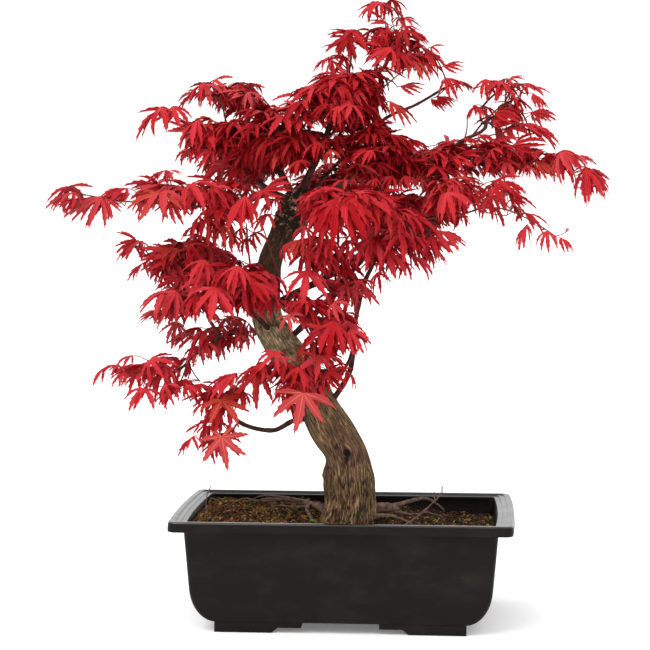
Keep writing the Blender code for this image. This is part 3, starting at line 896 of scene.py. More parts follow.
# openings through the crown as seen from in front: x, z and reach, in mm from the pot's middle
clearings = np.array((
    (170, 350, 16), (195, 341, 13), (143, 375, 6), (182, 401, 5), (147, 406, 6), (111, 322, 13),
    (86, 308, 7), (135, 321, 7), (74, 296, 5), (42, 279, 7), (66, 416, 12), (85, 419, 10), (48, 406, 6),
    (50, 441, 5), (60, 454, 5), (87, 476, 7), (104, 460, 6), (114, 438, 6), (-37, 454, 8), (-130, 427, 5),
    (-176, 389, 13), (-156, 394, 10), (-143, 374, 7), (-184, 363, 5), (-212, 319, 10), (-190, 327, 9),
    (-167, 323, 11), (-149, 331, 7), (-177, 335, 6), (-205, 334, 6), (-181, 275, 9), (-167, 280, 7),
    (-191, 292, 5), (-123, 246, 5), (-171, 231, 13), (-151, 224, 5), (-194, 174, 8), (-206, 186, 6),
    (-154, 159, 11), (-142, 172, 10), (-124, 141, 5), (-140, 123, 8), (-113, 123, 8), (-117, 198, 5),
    (-107, 210, 5), (-79, 188, 5), (-75, 168, 10), (-74, 147, 12), (-90, 123, 10), (-37, 155, 6),
    (-1, 176, 6), (-26, 215, 5), (10, 207, 8), (25, 223, 7), (20, 253, 6), (24, 265, 6), (-31, 276, 5),
    (-53, 382, 4), (-29, 413, 4), (-77, 326, 6), (-80, 312, 6), (-50, 449, 6), (58, 402, 8), (70, 401, 5),
    (38, 418, 5), (-142, 406, 7), (-166, 266, 7), (-92, 212, 7),
), float) / 1000
# stretches of the trunk that no leaf in front hides
trunkWindows = np.array(((-47, 349, 7), (-58, 325, 7), (-66, 296, 7), (-65, 243, 8), (-56, 230, 8),
                         (-46, 216, 6)),
                        float) / 1000
windowDepth = potMiddle[1] - 0.02
# leaves listed for each mass: how the lobes hang, which way the upper face looks, then the base and the
# tip of the middle lobe, each as seenAt takes it
setLeaves = {
    "leaves_left_arm_tip": (
        ("half left", (74, 192, -52), (46, 217, -62)), ("half front", (101, 197, -56), (88, 232, -66)),
        ("closed left", (104, 196, -52), (60, 224, -58)), ("closed front", (105, 198, -56), (117, 219, -62)),
    ),
    "leaves_left_arm_mid": (
        ("half left", (127, 188, -50), (98, 205, -64)), ("flat up", (158, 193, -74), (137, 224, -92)),
        ("open right", (162, 190, -68), (197, 213, -82)), ("half front", (171, 200, -62), (184, 227, -72)),
        ("half left", (166, 170, -46), (148, 188, -54)), ("half front", (168, 171, -46), (178, 185, -54)),
    ),
    "leaves_left_arm_inner": (
        ("open right", (190, 184, -66), (226, 206, -80)), ("half front", (198, 186, -64), (186, 222, -74)),
        ("closed front", (245, 195, -78), (240, 238, -92)), ("half front", (262, 190, -44), (252, 228, -52)),
        ("closed right", (262, 191, -50), (296, 184, -60)), ("closed up", (291, 187, -40), (270, 179, -46)),
        ("half left", (276, 198, -34), (262, 222, -44)), ("open left", (268, 214, -38), (250, 236, -46)),
        ("closed left", (200, 214, -50), (192, 240, -58)), ("half left", (196, 224, -42), (184, 246, -50)),
        ("half front", (214, 228, -48), (217, 253, -56)), ("half front", (231, 234, -44), (230, 258, -52)),
        ("half front", (246, 238, -36), (250, 260, -44)), ("half front", (208, 218, -54), (211, 246, -62)),
        ("half front", (223, 226, -50), (224, 252, -58)), ("half left", (241, 227, -42), (235, 250, -50)),
        ("half front", (254, 232, -36), (263, 248, -44)),
    ),
    "leaves_upper_left_tip": (
        ("half left", (161, 107, -12), (143, 149, -24)), ("half front", (173, 106, -14), (179, 134, -24)),
        ("half left", (198, 120, -24), (174, 150, -34)),
    ),
    "leaves_upper_left_top": (
        ("half left", (203, 83, 4), (190, 106, -8)), ("half front", (206, 84, 2), (216, 112, -10)),
        ("open up", (214, 80, 8), (238, 86, 2)), ("half front", (248, 92, -8), (256, 112, -18)),
    ),
    "leaves_upper_left_outer": (
        ("half left", (196, 147, -20), (177, 164, -28)), ("half front", (212, 150, -24), (198, 172, -34)),
    ),
    "leaves_left_tip": (
        ("open left", (140, 241, -14), (112, 262, -24)), ("half left", (136, 240, -12), (112, 236, -16)),
        ("half left", (144, 262, -22), (130, 287, -30)),
    ),
    "leaves_left_outer": (
        ("half left", (176, 248, -40), (150, 262, -50)), ("half front", (190, 244, -44), (206, 266, -56)),
    ),
    "leaves_left_under": (
        ("half left", (168, 290, -48), (138, 318, -58)), ("half front", (176, 291, -52), (158, 324, -64)),
    ),
    "leaves_left_inner": (
        ("half front", (197, 294, -64), (196, 327, -78)), ("open front", (216, 288, -74), (211, 325, -86)),
        ("half front", (205, 260, -62), (192, 291, -76)), ("half front", (238, 266, -84), (232, 297, -96)),
        ("closed right", (252, 282, -84), (280, 302, -94)),
    ),
    "leaves_left_below": (
        ("half front", (177, 322, -24), (170, 352, -32)), ("closed left", (206, 330, -36), (192, 348, -44)),
        ("half front", (197, 346, -30), (193, 371, -40)), ("half front", (205, 342, -34), (213, 363, -42)),
        ("half front", (238, 336, -44), (246, 352, -50)),
    ),
    "leaves_lower_left_hanging": (
        ("flat front", (222, 437, -84), (225, 475, -90)), ("half left", (193, 436, -74), (181, 462, -80)),
        ("closed left", (200, 425, -66), (184, 434, -72)),
    ),
    "leaves_lower_left_inner": (
        ("flat up", (222, 400, -68), (236, 430, -86)), ("half left", (206, 402, -62), (192, 420, -70)),
    ),
    "leaves_lower_left_mid": (
        ("open front", (144, 388, -62), (137, 421, -76)), ("half front", (164, 384, -60), (180, 410, -74)),
        ("half front", (172, 386, -56), (166, 414, -66)), ("closed front", (186, 384, -52), (196, 402, -60)),
        ("half left", (132, 355, -46), (116, 370, -54)), ("open front", (150, 360, -52), (168, 380, -64)),
    ),
    "leaves_lower_left_tip": (
        ("half left", (125, 372, -50), (108, 388, -58)), ("closed left", (105, 367, -44), (92, 388, -50)),
    ),
    "leaves_trunk_front": (
        ("flat front", (303, 393, -94), (294, 437, -100)), ("open up", (275, 352, -90), (262, 375, -100)),
    ),
    "leaves_trunk_front_left": (
        ("half front", (262, 366, -84), (244, 390, -94)),
    ),
    "leaves_trunk_front_right": (
        ("open front", (328, 372, -74), (351, 384, -84)),
    ),
    "leaves_right_hanging_lower": (
        ("half front", (335, 322, -82), (325, 366, -92)), ("half front", (350, 330, -76), (366, 357, -86)),
    ),
    "leaves_right_hanging_inner": (
        ("flat front", (288, 315, -84), (292, 335, -88)), ("half front", (306, 300, -80), (290, 322, -88)),
    ),
    "leaves_right_hanging_upper": (
        ("open front", (333, 303, -76), (350, 320, -84)),
    ),
    "leaves_front_centre": (
        ("half front", (333, 201, -116), (310, 240, -130)),
        ("half front", (337, 199, -118), (331, 252, -134)),
        ("half front", (345, 198, -118), (368, 242, -132)), ("open up", (349, 196, -112), (396, 214, -122)),
    ),
    "leaves_front_right": (
        ("half front", (372, 238, -78), (366, 275, -88)), ("half front", (388, 250, -72), (393, 286, -82)),
        ("half front", (378, 272, -70), (384, 299, -78)),
    ),
    "leaves_front_under": (
        ("half front", (305, 226, -76), (299, 248, -86)), ("half front", (300, 240, -70), (291, 263, -80)),
        ("half front", (314, 236, -74), (308, 260, -84)), ("half front", (330, 239, -76), (331, 263, -86)),
        ("half front", (347, 240, -74), (351, 264, -84)), ("half front", (322, 228, -80), (318, 251, -90)),
        ("half front", (338, 230, -80), (341, 253, -90)), ("half front", (354, 231, -76), (359, 253, -86)),
        ("half left", (358, 245, -82), (349, 266, -92)),
    ),
    "leaves_lower_right_under": (
        ("closed right", (437, 230, -62), (468, 252, -70)),
        ("closed right", (412, 254, -62), (433, 279, -72)), ("half right", (402, 260, -66), (410, 287, -76)),
    ),
    "leaves_apex": (
        ("open left", (380, 2, 0), (355, 18, -6)), ("half right", (388, 5, 0), (402, 27, -8)),
        ("open up", (388, 24, -4), (357, 20, -10)),
    ),
    "leaves_apex_left": (
        ("open front", (351, 30, -8), (350, 60, -18)), ("half left", (328, 57, -6), (316, 77, -12)),
        ("closed front", (331, 60, -6), (338, 78, -14)),
    ),
    "leaves_apex_right": (
        ("half right", (403, 25, -4), (421, 45, -12)), ("half front", (392, 48, -22), (372, 76, -34)),
        ("closed left", (388, 45, -8), (364, 38, -10)), ("closed left", (390, 49, -12), (366, 55, -18)),
        ("half right", (412, 60, -14), (434, 81, -22)), ("closed right", (400, 86, -4), (426, 91, -8)),
    ),
    "leaves_heart_right": (
        ("closed right", (390, 101, -20), (412, 129, -30)),
        ("closed right", (391, 134, -34), (416, 150, -44)), ("half left", (372, 150, -50), (350, 166, -58)),
        ("closed right", (404, 140, -30), (430, 150, -36)), ("half front", (392, 176, -40), (386, 194, -48)),
        ("half front", (404, 176, -40), (411, 197, -48)), ("half right", (420, 177, -40), (430, 195, -46)),
        ("half left", (376, 178, -44), (364, 192, -50)),
    ),
    "leaves_apex_inner": (
        ("half left", (330, 104, -40), (312, 120, -50)), ("half front", (338, 106, -44), (340, 130, -54)),
        ("open right", (350, 104, -40), (366, 124, -50)),
    ),
    "leaves_upper_left_inner": (
        ("half left", (318, 142, -44), (302, 162, -54)), ("half front", (330, 150, -46), (334, 172, -54)),
        ("open left", (300, 160, -52), (284, 178, -60)),
    ),
    "leaves_apex_spray": (
        ("open up", (431, 47, 4), (447, 51, 2)), ("half front", (447, 78, -4), (458, 101, -14)),
        ("closed right", (443, 66, -2), (466, 68, -4)), ("closed right", (437, 96, -6), (457, 106, -12)),
        ("closed right", (431, 99, -8), (449, 110, -12)),
    ),
    "leaves_upper_right": (
        ("half front", (486, 79, -8), (487, 103, -18)), ("open right", (500, 81, -4), (522, 110, -16)),
        ("half front", (500, 81, -10), (496, 106, -20)), ("open up", (510, 79, 2), (527, 79, 0)),
        ("half right", (525, 84, 4), (541, 89, 2)), ("closed right", (533, 93, 0), (546, 113, -6)),
        ("closed left", (475, 105, -6), (468, 121, -12)), ("closed right", (475, 105, -4), (486, 119, -12)),
        ("closed right", (494, 112, -4), (525, 118, -10)), ("closed right", (530, 112, 4), (559, 118, 0)),
        ("half right", (494, 121, -8), (511, 127, -12)), ("half right", (520, 124, 0), (550, 136, -8)),
        ("closed right", (528, 125, 6), (561, 147, -2)),
    ),
    "leaves_right_arm_tip": (
        ("closed right", (590, 168, -20), (604, 200, -28)), ("half front", (564, 150, -24), (574, 187, -34)),
        ("half left", (560, 152, -28), (564, 188, -36)), ("closed front", (585, 167, -22), (594, 206, -30)),
        ("closed right", (585, 166, -14), (608, 197, -22)),
    ),
    "leaves_right_arm_outer": (
        ("closed right", (535, 160, -22), (560, 179, -30)), ("half right", (527, 165, -30), (537, 183, -38)),
        ("closed right", (512, 146, -16), (548, 140, -18)),
        ("closed right", (464, 138, -20), (482, 147, -26)),
        ("closed right", (478, 134, -16), (496, 143, -22)),
        ("closed right", (455, 170, -34), (473, 179, -40)),
        ("closed right", (464, 176, -36), (482, 188, -42)),
    ),
    "leaves_lower_right_outer": (
        ("half front", (489, 196, -74), (497, 226, -86)), ("open right", (496, 180, -66), (526, 187, -74)),
        ("closed right", (506, 182, -58), (527, 198, -66)),
        ("closed right", (512, 199, -62), (529, 206, -66)),
    ),
    "leaves_lower_right_inner": (
        ("half front", (447, 192, -84), (460, 227, -94)),
    ),
    "leaves_lower_right_tip": (
        ("closed left", (527, 224, -60), (520, 254, -66)), ("half front", (547, 231, -62), (549, 256, -70)),
        ("closed right", (560, 237, -56), (573, 255, -60)), ("closed up", (565, 232, -52), (571, 227, -52)),
    ),
}
# by the start of the name of a mass: how large its leaves are, how far they lean below the level, how far
# apart they are and how many tints lighter they are painted, as painted light (painted shade below 0)
massLooks = (
    ("leaves_left_arm_tip", 0.95, 36, 1.5, 1.0), ("leaves_left_arm", 1.02, 34, 1.12, 0.6),
    ("leaves_lower_left_tip", 0.92, 38, 1.35, 1.2), ("leaves_lower_left_hanging", 0.92, 44, 1.9, 0.8),
    ("leaves_lower_left", 0.98, 40, 1.08, 1.0), ("leaves_trunk_front", 0.92, 44, 1.05, 0.6),
    ("leaves_left_tip", 0.86, 36, 1.6, 1.0), ("leaves_left_below", 0.84, 40, 1.35, 0.4),
    ("leaves_left", 0.86, 36, 0.95, 0.4), ("leaves_upper_left_tip", 0.86, 34, 1.9, 1.0),
    ("leaves_upper_left_top", 0.8, 32, 1.1, 0.4), ("leaves_upper_left", 0.8, 28, 0.88, -0.2),
    ("leaves_apex_spray", 0.72, 30, 1.7, 0.2), ("leaves_apex_inner", 0.74, 26, 0.95, -0.2),
    ("leaves_apex_right", 0.76, 30, 1.15, 0.1), ("leaves_apex", 0.76, 30, 1.7, 0.1),
    ("leaves_upper_right", 0.66, 22, 2.0, -0.2), ("leaves_right_arm_tip", 0.74, 30, 1.4, 0.5),
    ("leaves_right_arm", 0.74, 16, 0.88, -1.1), ("leaves_lower_right_tip", 0.72, 34, 2.6, 1.2),
    ("leaves_lower_right_outer", 0.78, 30, 1.4, -0.6), ("leaves_lower_right", 0.78, 34, 1.0, -0.4),
    ("leaves_heart", 0.7, 14, 0.8, -1.2), ("leaves_right_hanging", 0.88, 44, 1.0, 0.0),
    ("leaves_front", 0.84, 36, 1.0, 0.0), ("leaves_back", 0.82, 28, 1.1, 0.2),
)
# painted light and shade: how many tints lighter a mass is painted than its row says, darker below 0
paintedLightSteps = {
    "leaves_left_outer": 0.9, "leaves_left_under": 2.0, "leaves_left_below": 2.4, "leaves_left_tip": 0.3,
    "leaves_upper_left_top": 1.4, "leaves_upper_left_outer": 1.1, "leaves_upper_left_inner": -1.2,
    "leaves_upper_left_tip": -0.5, "leaves_left_arm_tip": 0.8, "leaves_lower_left_tip": 0.3,
    "leaves_lower_left_inner": -0.9, "leaves_lower_left_hanging": -0.3, "leaves_trunk_front_right": -0.7,
    "leaves_right_hanging_upper": 2.3, "leaves_right_hanging_lower": 1.0, "leaves_right_arm_outer": 0.8,
    "leaves_right_arm_inner": -1.0, "leaves_lower_right_under": 0.9, "leaves_lower_right_outer": -0.8,
    "leaves_front_under": 0.8, "leaves_front_right": 0.5, "leaves_apex_left": -0.4,
}
# the leaf pieces, and the masses that each one stands for
leafPieces = {
    "leavesLowerLeft": ("leaves_lower_left", "leaves_trunk_front"),
    "leavesLeft": ("leaves_left",),
    "leavesTop": ("leaves_upper_left", "leaves_apex"),
    "leavesRight": ("leaves_upper_right", "leaves_right_arm", "leaves_lower_right", "leaves_heart"),
    "leavesFront": ("leaves_front", "leaves_right_hanging"),
    "leavesBack": ("leaves_back",),
}
# height, x and y of the middle of the crown
treeAxis = ((0.080, 0.0, -0.025), (0.180, -0.025, -0.018), (0.260, -0.067, -0.012), (0.350, -0.041, -0.005),
            (0.450, -0.005, 0.0), (0.530, 0.020, 0.005))


def axisAt(z):
    heights, xs, ys = zip(*treeAxis)
    return np.array([np.interp(z, heights, xs), np.interp(z, heights, ys), z]) + potMiddle


def turned(heading, down):
    # a direction with that heading, that far below the level
    return np.array([math.cos(heading) * math.cos(down), math.sin(heading) * math.cos(down), -math.sin(down)])


def leafFrame(heading, pitch, roll):
    ahead = turned(heading, pitch)
    up = -turned(heading, pitch + math.pi / 2)
    right = np.cross(ahead, up)
    cos, sin = math.cos(roll), math.sin(roll)
    return np.stack([right * cos + up * sin, ahead, up * cos - right * sin], 1)


def chordDrop(kind):
    droop, curl = leafLook["kinds"][kind][:2]
    return math.radians(droop + curl / 2)


def surfaceSamples(rng, mass, count):
    corners = mass["verts"][mass["faces"]]
    normals = np.cross(corners[:, 1] - corners[:, 0], corners[:, 2] - corners[:, 0])
    areas = np.linalg.norm(normals, axis=1) / 2
    picks = rng.choice(len(areas), count, p=areas / areas.sum())
    a, b = rng.random(count), rng.random(count)
    fold = a + b > 1
    a[fold], b[fold] = 1 - a[fold], 1 - b[fold]
    shares = np.stack([1 - a - b, a, b], 1)
    points = (corners[picks] * shares[:, :, None]).sum(1)
    return points, normals[picks] / (2 * areas[picks])[:, None]


def frontSpots(points):
    # where points show on the upright plane through the pot's middle, seen from in front
    eye = np.array(view["place"])
    parts = (potMiddle[1] - eye[1]) / (points[:, 1] - eye[1])
    spots = eye + (points - eye) * parts[:, None]
    return (spots - potMiddle)[:, (0, 2)]


def leafPoints(leaf):
    return leaf["shape"]["verts"] * leaf["size"] @ leaf["turn"].T + leaf["base"]


def newLeaf(base, turn, size, shape, mass, outer, veins=1, warm=False):
    # outer is 1 for a leaf in full light, and veins says which vein colour shows
    return {"base": base, "turn": turn, "size": size, "shape": shape, "mass": mass, "outer": outer,
            "veins": veins,
            "warm": warm}


def lookOf(mass):
    return next(look for look in massLooks if mass["name"].startswith(look[0]))


def hidesOpening(spots, depth):
    # whether too much of a leaf lies across the openings or, in front of the trunk, across its bare stretches
    for places in (clearings, trunkWindows) if depth < windowDepth else (clearings,):
        within = np.linalg.norm(spots[:, None] - places[None, :, :2], axis=2) < places[None, :, 2]
        if within.any(1).mean() > foliage["mostCovered"]:
            return True
    return False


def pickShape(rng, shapes, kind):
    return shapes[kind][rng.integers(leafLook["shapesEach"])]


def placeSetLeaves(rng, shapes):
    leaves = []
    for number, mass in enumerate(masses):
        for look, base, tip in setLeaves.get(mass["name"], ()):
            kind, face = look.split()
            base, tip = seenAt(*base) + potMiddle, seenAt(*tip) + potMiddle
            chord = unit(tip - base)
            facing = np.array(faceWays[face])
            facing = unit(facing - chord * (facing @ chord))
            drop = chordDrop(kind)
            ahead = chord * math.cos(drop) + facing * math.sin(drop)
            up = facing * math.cos(drop) - chord * math.sin(drop)
            shape = pickShape(rng, shapes, kind)
            size = np.linalg.norm(tip - base) / shape["chord"]
            turn = np.stack([np.cross(ahead, up), ahead, up], 1)
            veins = 2 if kind == "flat" else 1
            leaves.append(newLeaf(base, turn, size, shape, number, 0.6, veins, face == "up"))
    return leaves


def surfaceLeaf(rng, shapes, number, point, normal):
    # on top of a mass a leaf hangs from the surface; elsewhere its middle lobe ends there
    mass = masses[number]
    scale, leanMost = lookOf(mass)[1:3]
    onward, outward, homeward = foliage["ways"]
    away, own = point - axisAt(point[2]), point - mass["middle"]
    wish = unit(normal[:2]) * (1 - abs(normal[2])) * onward + unit(away[:2]) * outward
    wish = wish + unit(own[:2]) * homeward
    heading = math.atan2(wish[1], wish[0]) + rng.normal(0, 0.55)
    facing = max(0.0, -normal[1])
    onTop, underneath, inFront = foliage["leans"]
    lean = leanMost - onTop * max(normal[2], 0) + underneath * max(-normal[2], 0) + inFront * facing
    down = math.radians(lean + rng.normal(0, 13))
    chord = turned(heading, down)
    chances = np.array(foliage["kindShares"]) + facing * np.array(foliage["frontShares"])
    kind = str(rng.choice(("flat", "open", "half", "closed"), p=chances / chances.sum()))
    shape = pickShape(rng, shapes, kind)
    turn = leafFrame(heading, down - chordDrop(kind), rng.normal(0, 0.32))
    for size in (rng.uniform(*foliage["sizes"]), *foliage["smaller"]):
        length = leafLook["length"] * size * scale
        reach = chord * length * shape["chord"]
        base = point - normal * foliage["topBaseDepth"] if normal[2] > 0.35 else point - reach
        if depthInCrown(base, 0.004) > -0.003:
            return newLeaf(base, turn, length, shape, number, 1.0), base + reach
    return None, None


def sticksOut(leaf, spread, mass=None):
    # whether two lobes or more end outside the crown
    ends = spread[leaf["shape"]["tips"]]
    if mass:
        ends = [end for end in ends if depthIn(mass, end) < -foliage["tipsProud"]]
    return len(ends) > 1 and sum(depthInCrown(end, 0.01) < -foliage["tipsProud"] for end in ends) > 1


def placeLeaves(rng, shapes, leaves):
    tips = np.zeros((len(leaves) + len(masses) * foliage["triesEach"], 3))
    kept = []
    for count, leaf in enumerate(leaves):
        lobeEnds = leafPoints(leaf)[leaf["shape"]["tips"]]
        tips[count] = lobeEnds[len(lobeEnds) // 2]
        middle = lobeEnds.mean(0) * 0.6 + leaf["base"] * 0.4
        kept.append((frontSpots(middle[None])[0], leaf["size"] * 0.5, middle[1]))
    keptSpots, keptReach, keptDepth = (np.array(column) for column in zip(*kept))
    lows, highs = (np.array([mass[key] for mass in masses]) for key in ("low", "high"))
    for number, mass in enumerate(masses):
        scale, _, apart = lookOf(mass)[1:4]
        spacing = foliage["spacing"] * scale * apart
        for point, normal in zip(*surfaceSamples(rng, mass, foliage["triesEach"])):
            near = np.flatnonzero(np.all(point > lows - 0.003, 1) & np.all(point < highs + 0.003, 1))
            if any(m != number and depthIn(masses[m], point) > -0.002 for m in near):
                continue
            leaf, tip = surfaceLeaf(rng, shapes, number, point, normal)
            if leaf is None or np.min(np.linalg.norm(tips[:len(leaves)] - tip, axis=1)) < spacing:
                continue
            spread = leafPoints(leaf)
            spots, depth = frontSpots(spread), spread[:, 1].mean()
            if sticksOut(leaf, spread, mass) or hidesOpening(spots, depth):
                continue
            near = np.linalg.norm(keptSpots - spots.mean(0), axis=1) < 0.05
            over = np.flatnonzero(near & (depth < keptDepth))
            covers = ((np.linalg.norm(spots - keptSpots[k], axis=1) < keptReach[k]).mean() for k in over)
            if not any(cover > foliage["mostOverlap"] for cover in covers):
                tips[len(leaves)] = tip
                leaves.append(leaf)
    return leaves


def placeInnerLeaves(rng, shapes, count):
    # shaded leaves inside the crown
    leaves = []
    volumes = np.array([np.prod(mass["high"] - mass["low"]) / lookOf(mass)[3] ** 2 for mass in masses])
    while len(leaves) < count:
        number = int(rng.choice(len(masses), p=volumes / volumes.sum()))
        mass = masses[number]
        point = mass["low"] + (mass["high"] - mass["low"]) * rng.random(3)
        if depthIn(mass, point) < foliage["innerDepth"]:
            continue
        away = point - axisAt(point[2])
        heading = math.atan2(away[1], away[0]) + rng.normal(0, 0.9)
        shape = pickShape(rng, shapes, "inner " + str(rng.choice(("open", "half"))))
        turn = leafFrame(heading, math.radians(rng.normal(2, 16)), rng.normal(0, 0.4))
        size = leafLook["length"] * rng.uniform(*foliage["innerSizes"])
        leaf = newLeaf(point, turn, size, shape, number, 0.0, 0)
        spread = leafPoints(leaf)
        if not sticksOut(leaf, spread) and not hidesOpening(frontSpots(spread), point[1]):
            leaves.append(leaf)
    return leaves


def addJoints(rng, leaves):
    # where each leaf's stalk leaves its twig; leaves close together share one joint, as opposite leaves do
    joints = []
    for leaf in leaves:
        reach = rng.uniform(*foliage["petiole"]) * leaf["size"] / leafLook["length"]
        ahead = leaf["turn"][:, 1]
        back = turned(math.atan2(ahead[1], ahead[0]) + rng.normal(0, 0.3), math.radians(rng.normal(-18, 10)))
        for part in (1.0, 0.7, 0.45, 0.25):
            joint = leaf["base"] - back * reach * part
            if depthInCrown(joint, 0.001) > 0.001:
                break
        close = (i for i, (place, _) in enumerate(joints)
                 if np.linalg.norm(place - joint) < foliage["shareJoint"])
        leaf["joint"] = next(close, len(joints))
        if leaf["joint"] == len(joints):
            joints.append((joint, leaf["mass"]))
    return joints


# twigs grow from the boughs to every joint

growth = {
    "step": 0.0065,
    "longWay": 0.24,
    "bareShare": 0.42,
    "bareShoot": 0.20,
    "wander": 0.0007,
    "tipRadius": 0.00040,
    "thickening": 0.40,
    "thickest": 0.0015,
    "forkSwell": 1.25,
    "thickestFork": 0.0026,
    "oldAbove": 0.00080,
    # sides of a twig that is thicker than this at its start
    "sidesAbove": ((0.0012, 7), (0.0006, 5), (0.0, 4)),
    "touchGap": 0.003,
    "limbGap": 0.005,
    "limbNear": 0.006,
    "strangerCost": 0.5,
    "petioleRadii": (0.00040, 0.00032),
}


def curveBetween(start, end, leave, arrive, count):
    # points of a smooth line that leaves the start and reaches the end in the given directions
    gap = np.linalg.norm(end - start)
    t = np.linspace(0, 1, count)[:, None]
    return ((2 * t**3 - 3 * t**2 + 1) * start + (t**3 - 2 * t**2 + t) * leave * gap
            + (3 * t**2 - 2 * t**3) * end + (t**3 - t**2) * arrive * gap)


def growTwigs(rng, joints, touch):
    places, parents, travelled, homes = [], [], [], []

    def keep(place, parent, home):
        places.append(place)
        parents.append(parent)
        homes.append(home)
        way = travelled[parent] + np.linalg.norm(place - places[parent]) if parent >= 0 else 0.0
        travelled.append(way)
        return len(places) - 1

    for first, _, route in limbs:
        points, _ = routePoints(route, growth["limbGap"])
        bare = growth["bareShare"] if first > boughLook["thinBelow"] else growth["bareShoot"]
        parent = -1
        for i, point in enumerate(points):
            near = max(range(len(masses)), key=lambda m: depthIn(masses[m], point))
            close = depthIn(masses[near], point) > -growth["limbNear"]
            parent = keep(point, parent, near if close and i > len(points) * bare else -1)
    limbCount = len(places)
    goals = np.array([joint[0] for joint in joints])
    goalHome = np.array([joint[1] for joint in joints])
    unmet = np.ones(len(goals), bool)
    best = np.full(len(goals), 1e9)
    source = np.full(len(goals), -1)

    def offer(index):
        if homes[index] < 0:
            return
        reach = np.linalg.norm(goals - places[index], axis=1)
        stranger = np.where(touch[goalHome, homes[index]], 0.0, growth["strangerCost"])
        cost = reach + growth["longWay"] * travelled[index] + stranger
        better = unmet & (cost < best)
        best[better] = cost[better]
        source[better] = index

    for index in range(limbCount):
        offer(index)
    jointNode = np.full(len(goals), -1)
    while unmet.any():
        goal = int(np.argmin(np.where(unmet, best, 1e9)))
        start = int(source[goal])
        unmet[goal] = False
        gap = np.linalg.norm(goals[goal] - places[start])
        before = goals[goal] - places[start]
        if parents[start] >= 0:
            before = places[start] - places[parents[start]]
        leave = unit(unit(before) + 0.9 * unit(goals[goal] - places[start]))
        arrive = unit(goals[goal] - places[start] + np.array([0, 0, 0.25 * gap]))
        count = max(1, round(gap / growth["step"]))
        parent = start
        for i, point in enumerate(curveBetween(places[start], goals[goal], leave, arrive, count + 1)[1:], 1):
            if i < count:
                point = point + rng.normal(0, growth["wander"], 3)
            parent = keep(point, parent, goalHome[goal])
            offer(parent)
        jointNode[goal] = parent
    return np.array(places), np.array(parents), limbCount, jointNode


def makeTwigs(places, parents, limbCount, jointNode, leaves, batch):
    load = np.zeros(len(places))
    for leaf in leaves:
        load[jointNode[leaf["joint"]]] += 1
    for index in range(len(places) - 1, -1, -1):
        if parents[index] >= 0:
            load[parents[index]] += load[index]
    children = [[] for _ in places]
    for index, parent in enumerate(parents):
        if parent >= 0:
            children[parent].append(index)
    radius = np.minimum(growth["tipRadius"] * np.maximum(load, 1) ** growth["thickening"], growth["thickest"])
    heaviest = [max(own, key=lambda c: load[c]) if own else -1 for own in children]
    starts = [(parent, child) for parent in range(len(places)) for child in children[parent]
              if child >= limbCount and (parent < limbCount or child != heaviest[parent])]
    for parent, here in starts:
        line, sizes = [places[parent]], [min(radius[here] * growth["forkSwell"], growth["thickestFork"])]
        while here >= 0:
            line.append(places[here])
            sizes.append(radius[here])
            here = heaviest[here]
        line, sizes = np.array(line), np.array(sizes)
        if len(line) > 3:
            line[1:-1] = 0.25 * line[:-2] + 0.5 * line[1:-1] + 0.25 * line[2:]
        sizes = np.minimum.accumulate(sizes)
        sides = next(sides for least, sides in growth["sidesAbove"] if sizes[0] > least)
        verts, quads, tris = tube(line, sizes, sides)
        old = np.repeat(sizes[:-1] > growth["oldAbove"], sides)
        addShape(batch, verts, quads, tris, np.where(old, 0, 1), 1)


def tintLeaves(rng, leaves):
    # each spray has its own tint, painted lighter further out and in some masses as painted light, darker in
    # others as painted shade, and its leaves differ a little
    sprayTintAndLight = {}
    for leaf in leaves:
        if leaf["joint"] not in sprayTintAndLight:
            mass = masses[leaf["mass"]]
            outward = np.linalg.norm((leaf["base"] - axisAt(leaf["base"][2]))[:2]) - 0.07
            steps = lookOf(mass)[4] + paintedLightSteps.get(mass["name"], 0)
            sprayTintAndLight[leaf["joint"]] = rng.normal(2.5, 0.8) + 10 * np.clip(outward, 0, 0.1) + steps
        # painted shade: leaves out of full light get darker tints
        tint = sprayTintAndLight[leaf["joint"]] + rng.normal(0, 0.45) + 1.6 * (leaf["outer"] - 1)
        tint = int(np.clip(round(tint), 0, len(leafLitAndShadedTints) - 2))
        if leaf["veins"] == 2:
            tint = len(leafLitAndShadedTints) - 2 + leaf["warm"]
        elif leaf["outer"] and rng.random() < foliage["warmShare"]:
            tint = len(leafLitAndShadedTints) - 1
        leaf["tint"] = tint
        leaf["vein"] = len(leafLitAndShadedTints) - 1 + leaf["veins"] if leaf["veins"] and tint > 1 else tint


def addPetiole(twigs, joint, leaf):
    arrive = unit(leaf["turn"][:, 1] - (0, 0, 0.1))
    leave = unit(unit(leaf["base"] - joint) + np.array([0, 0, 0.5]))
    line = curveBetween(joint, leaf["base"], leave, arrive, 6)
    addShape(twigs, *tube(line, np.linspace(*growth["petioleRadii"], len(line)), 4), 2, 2)


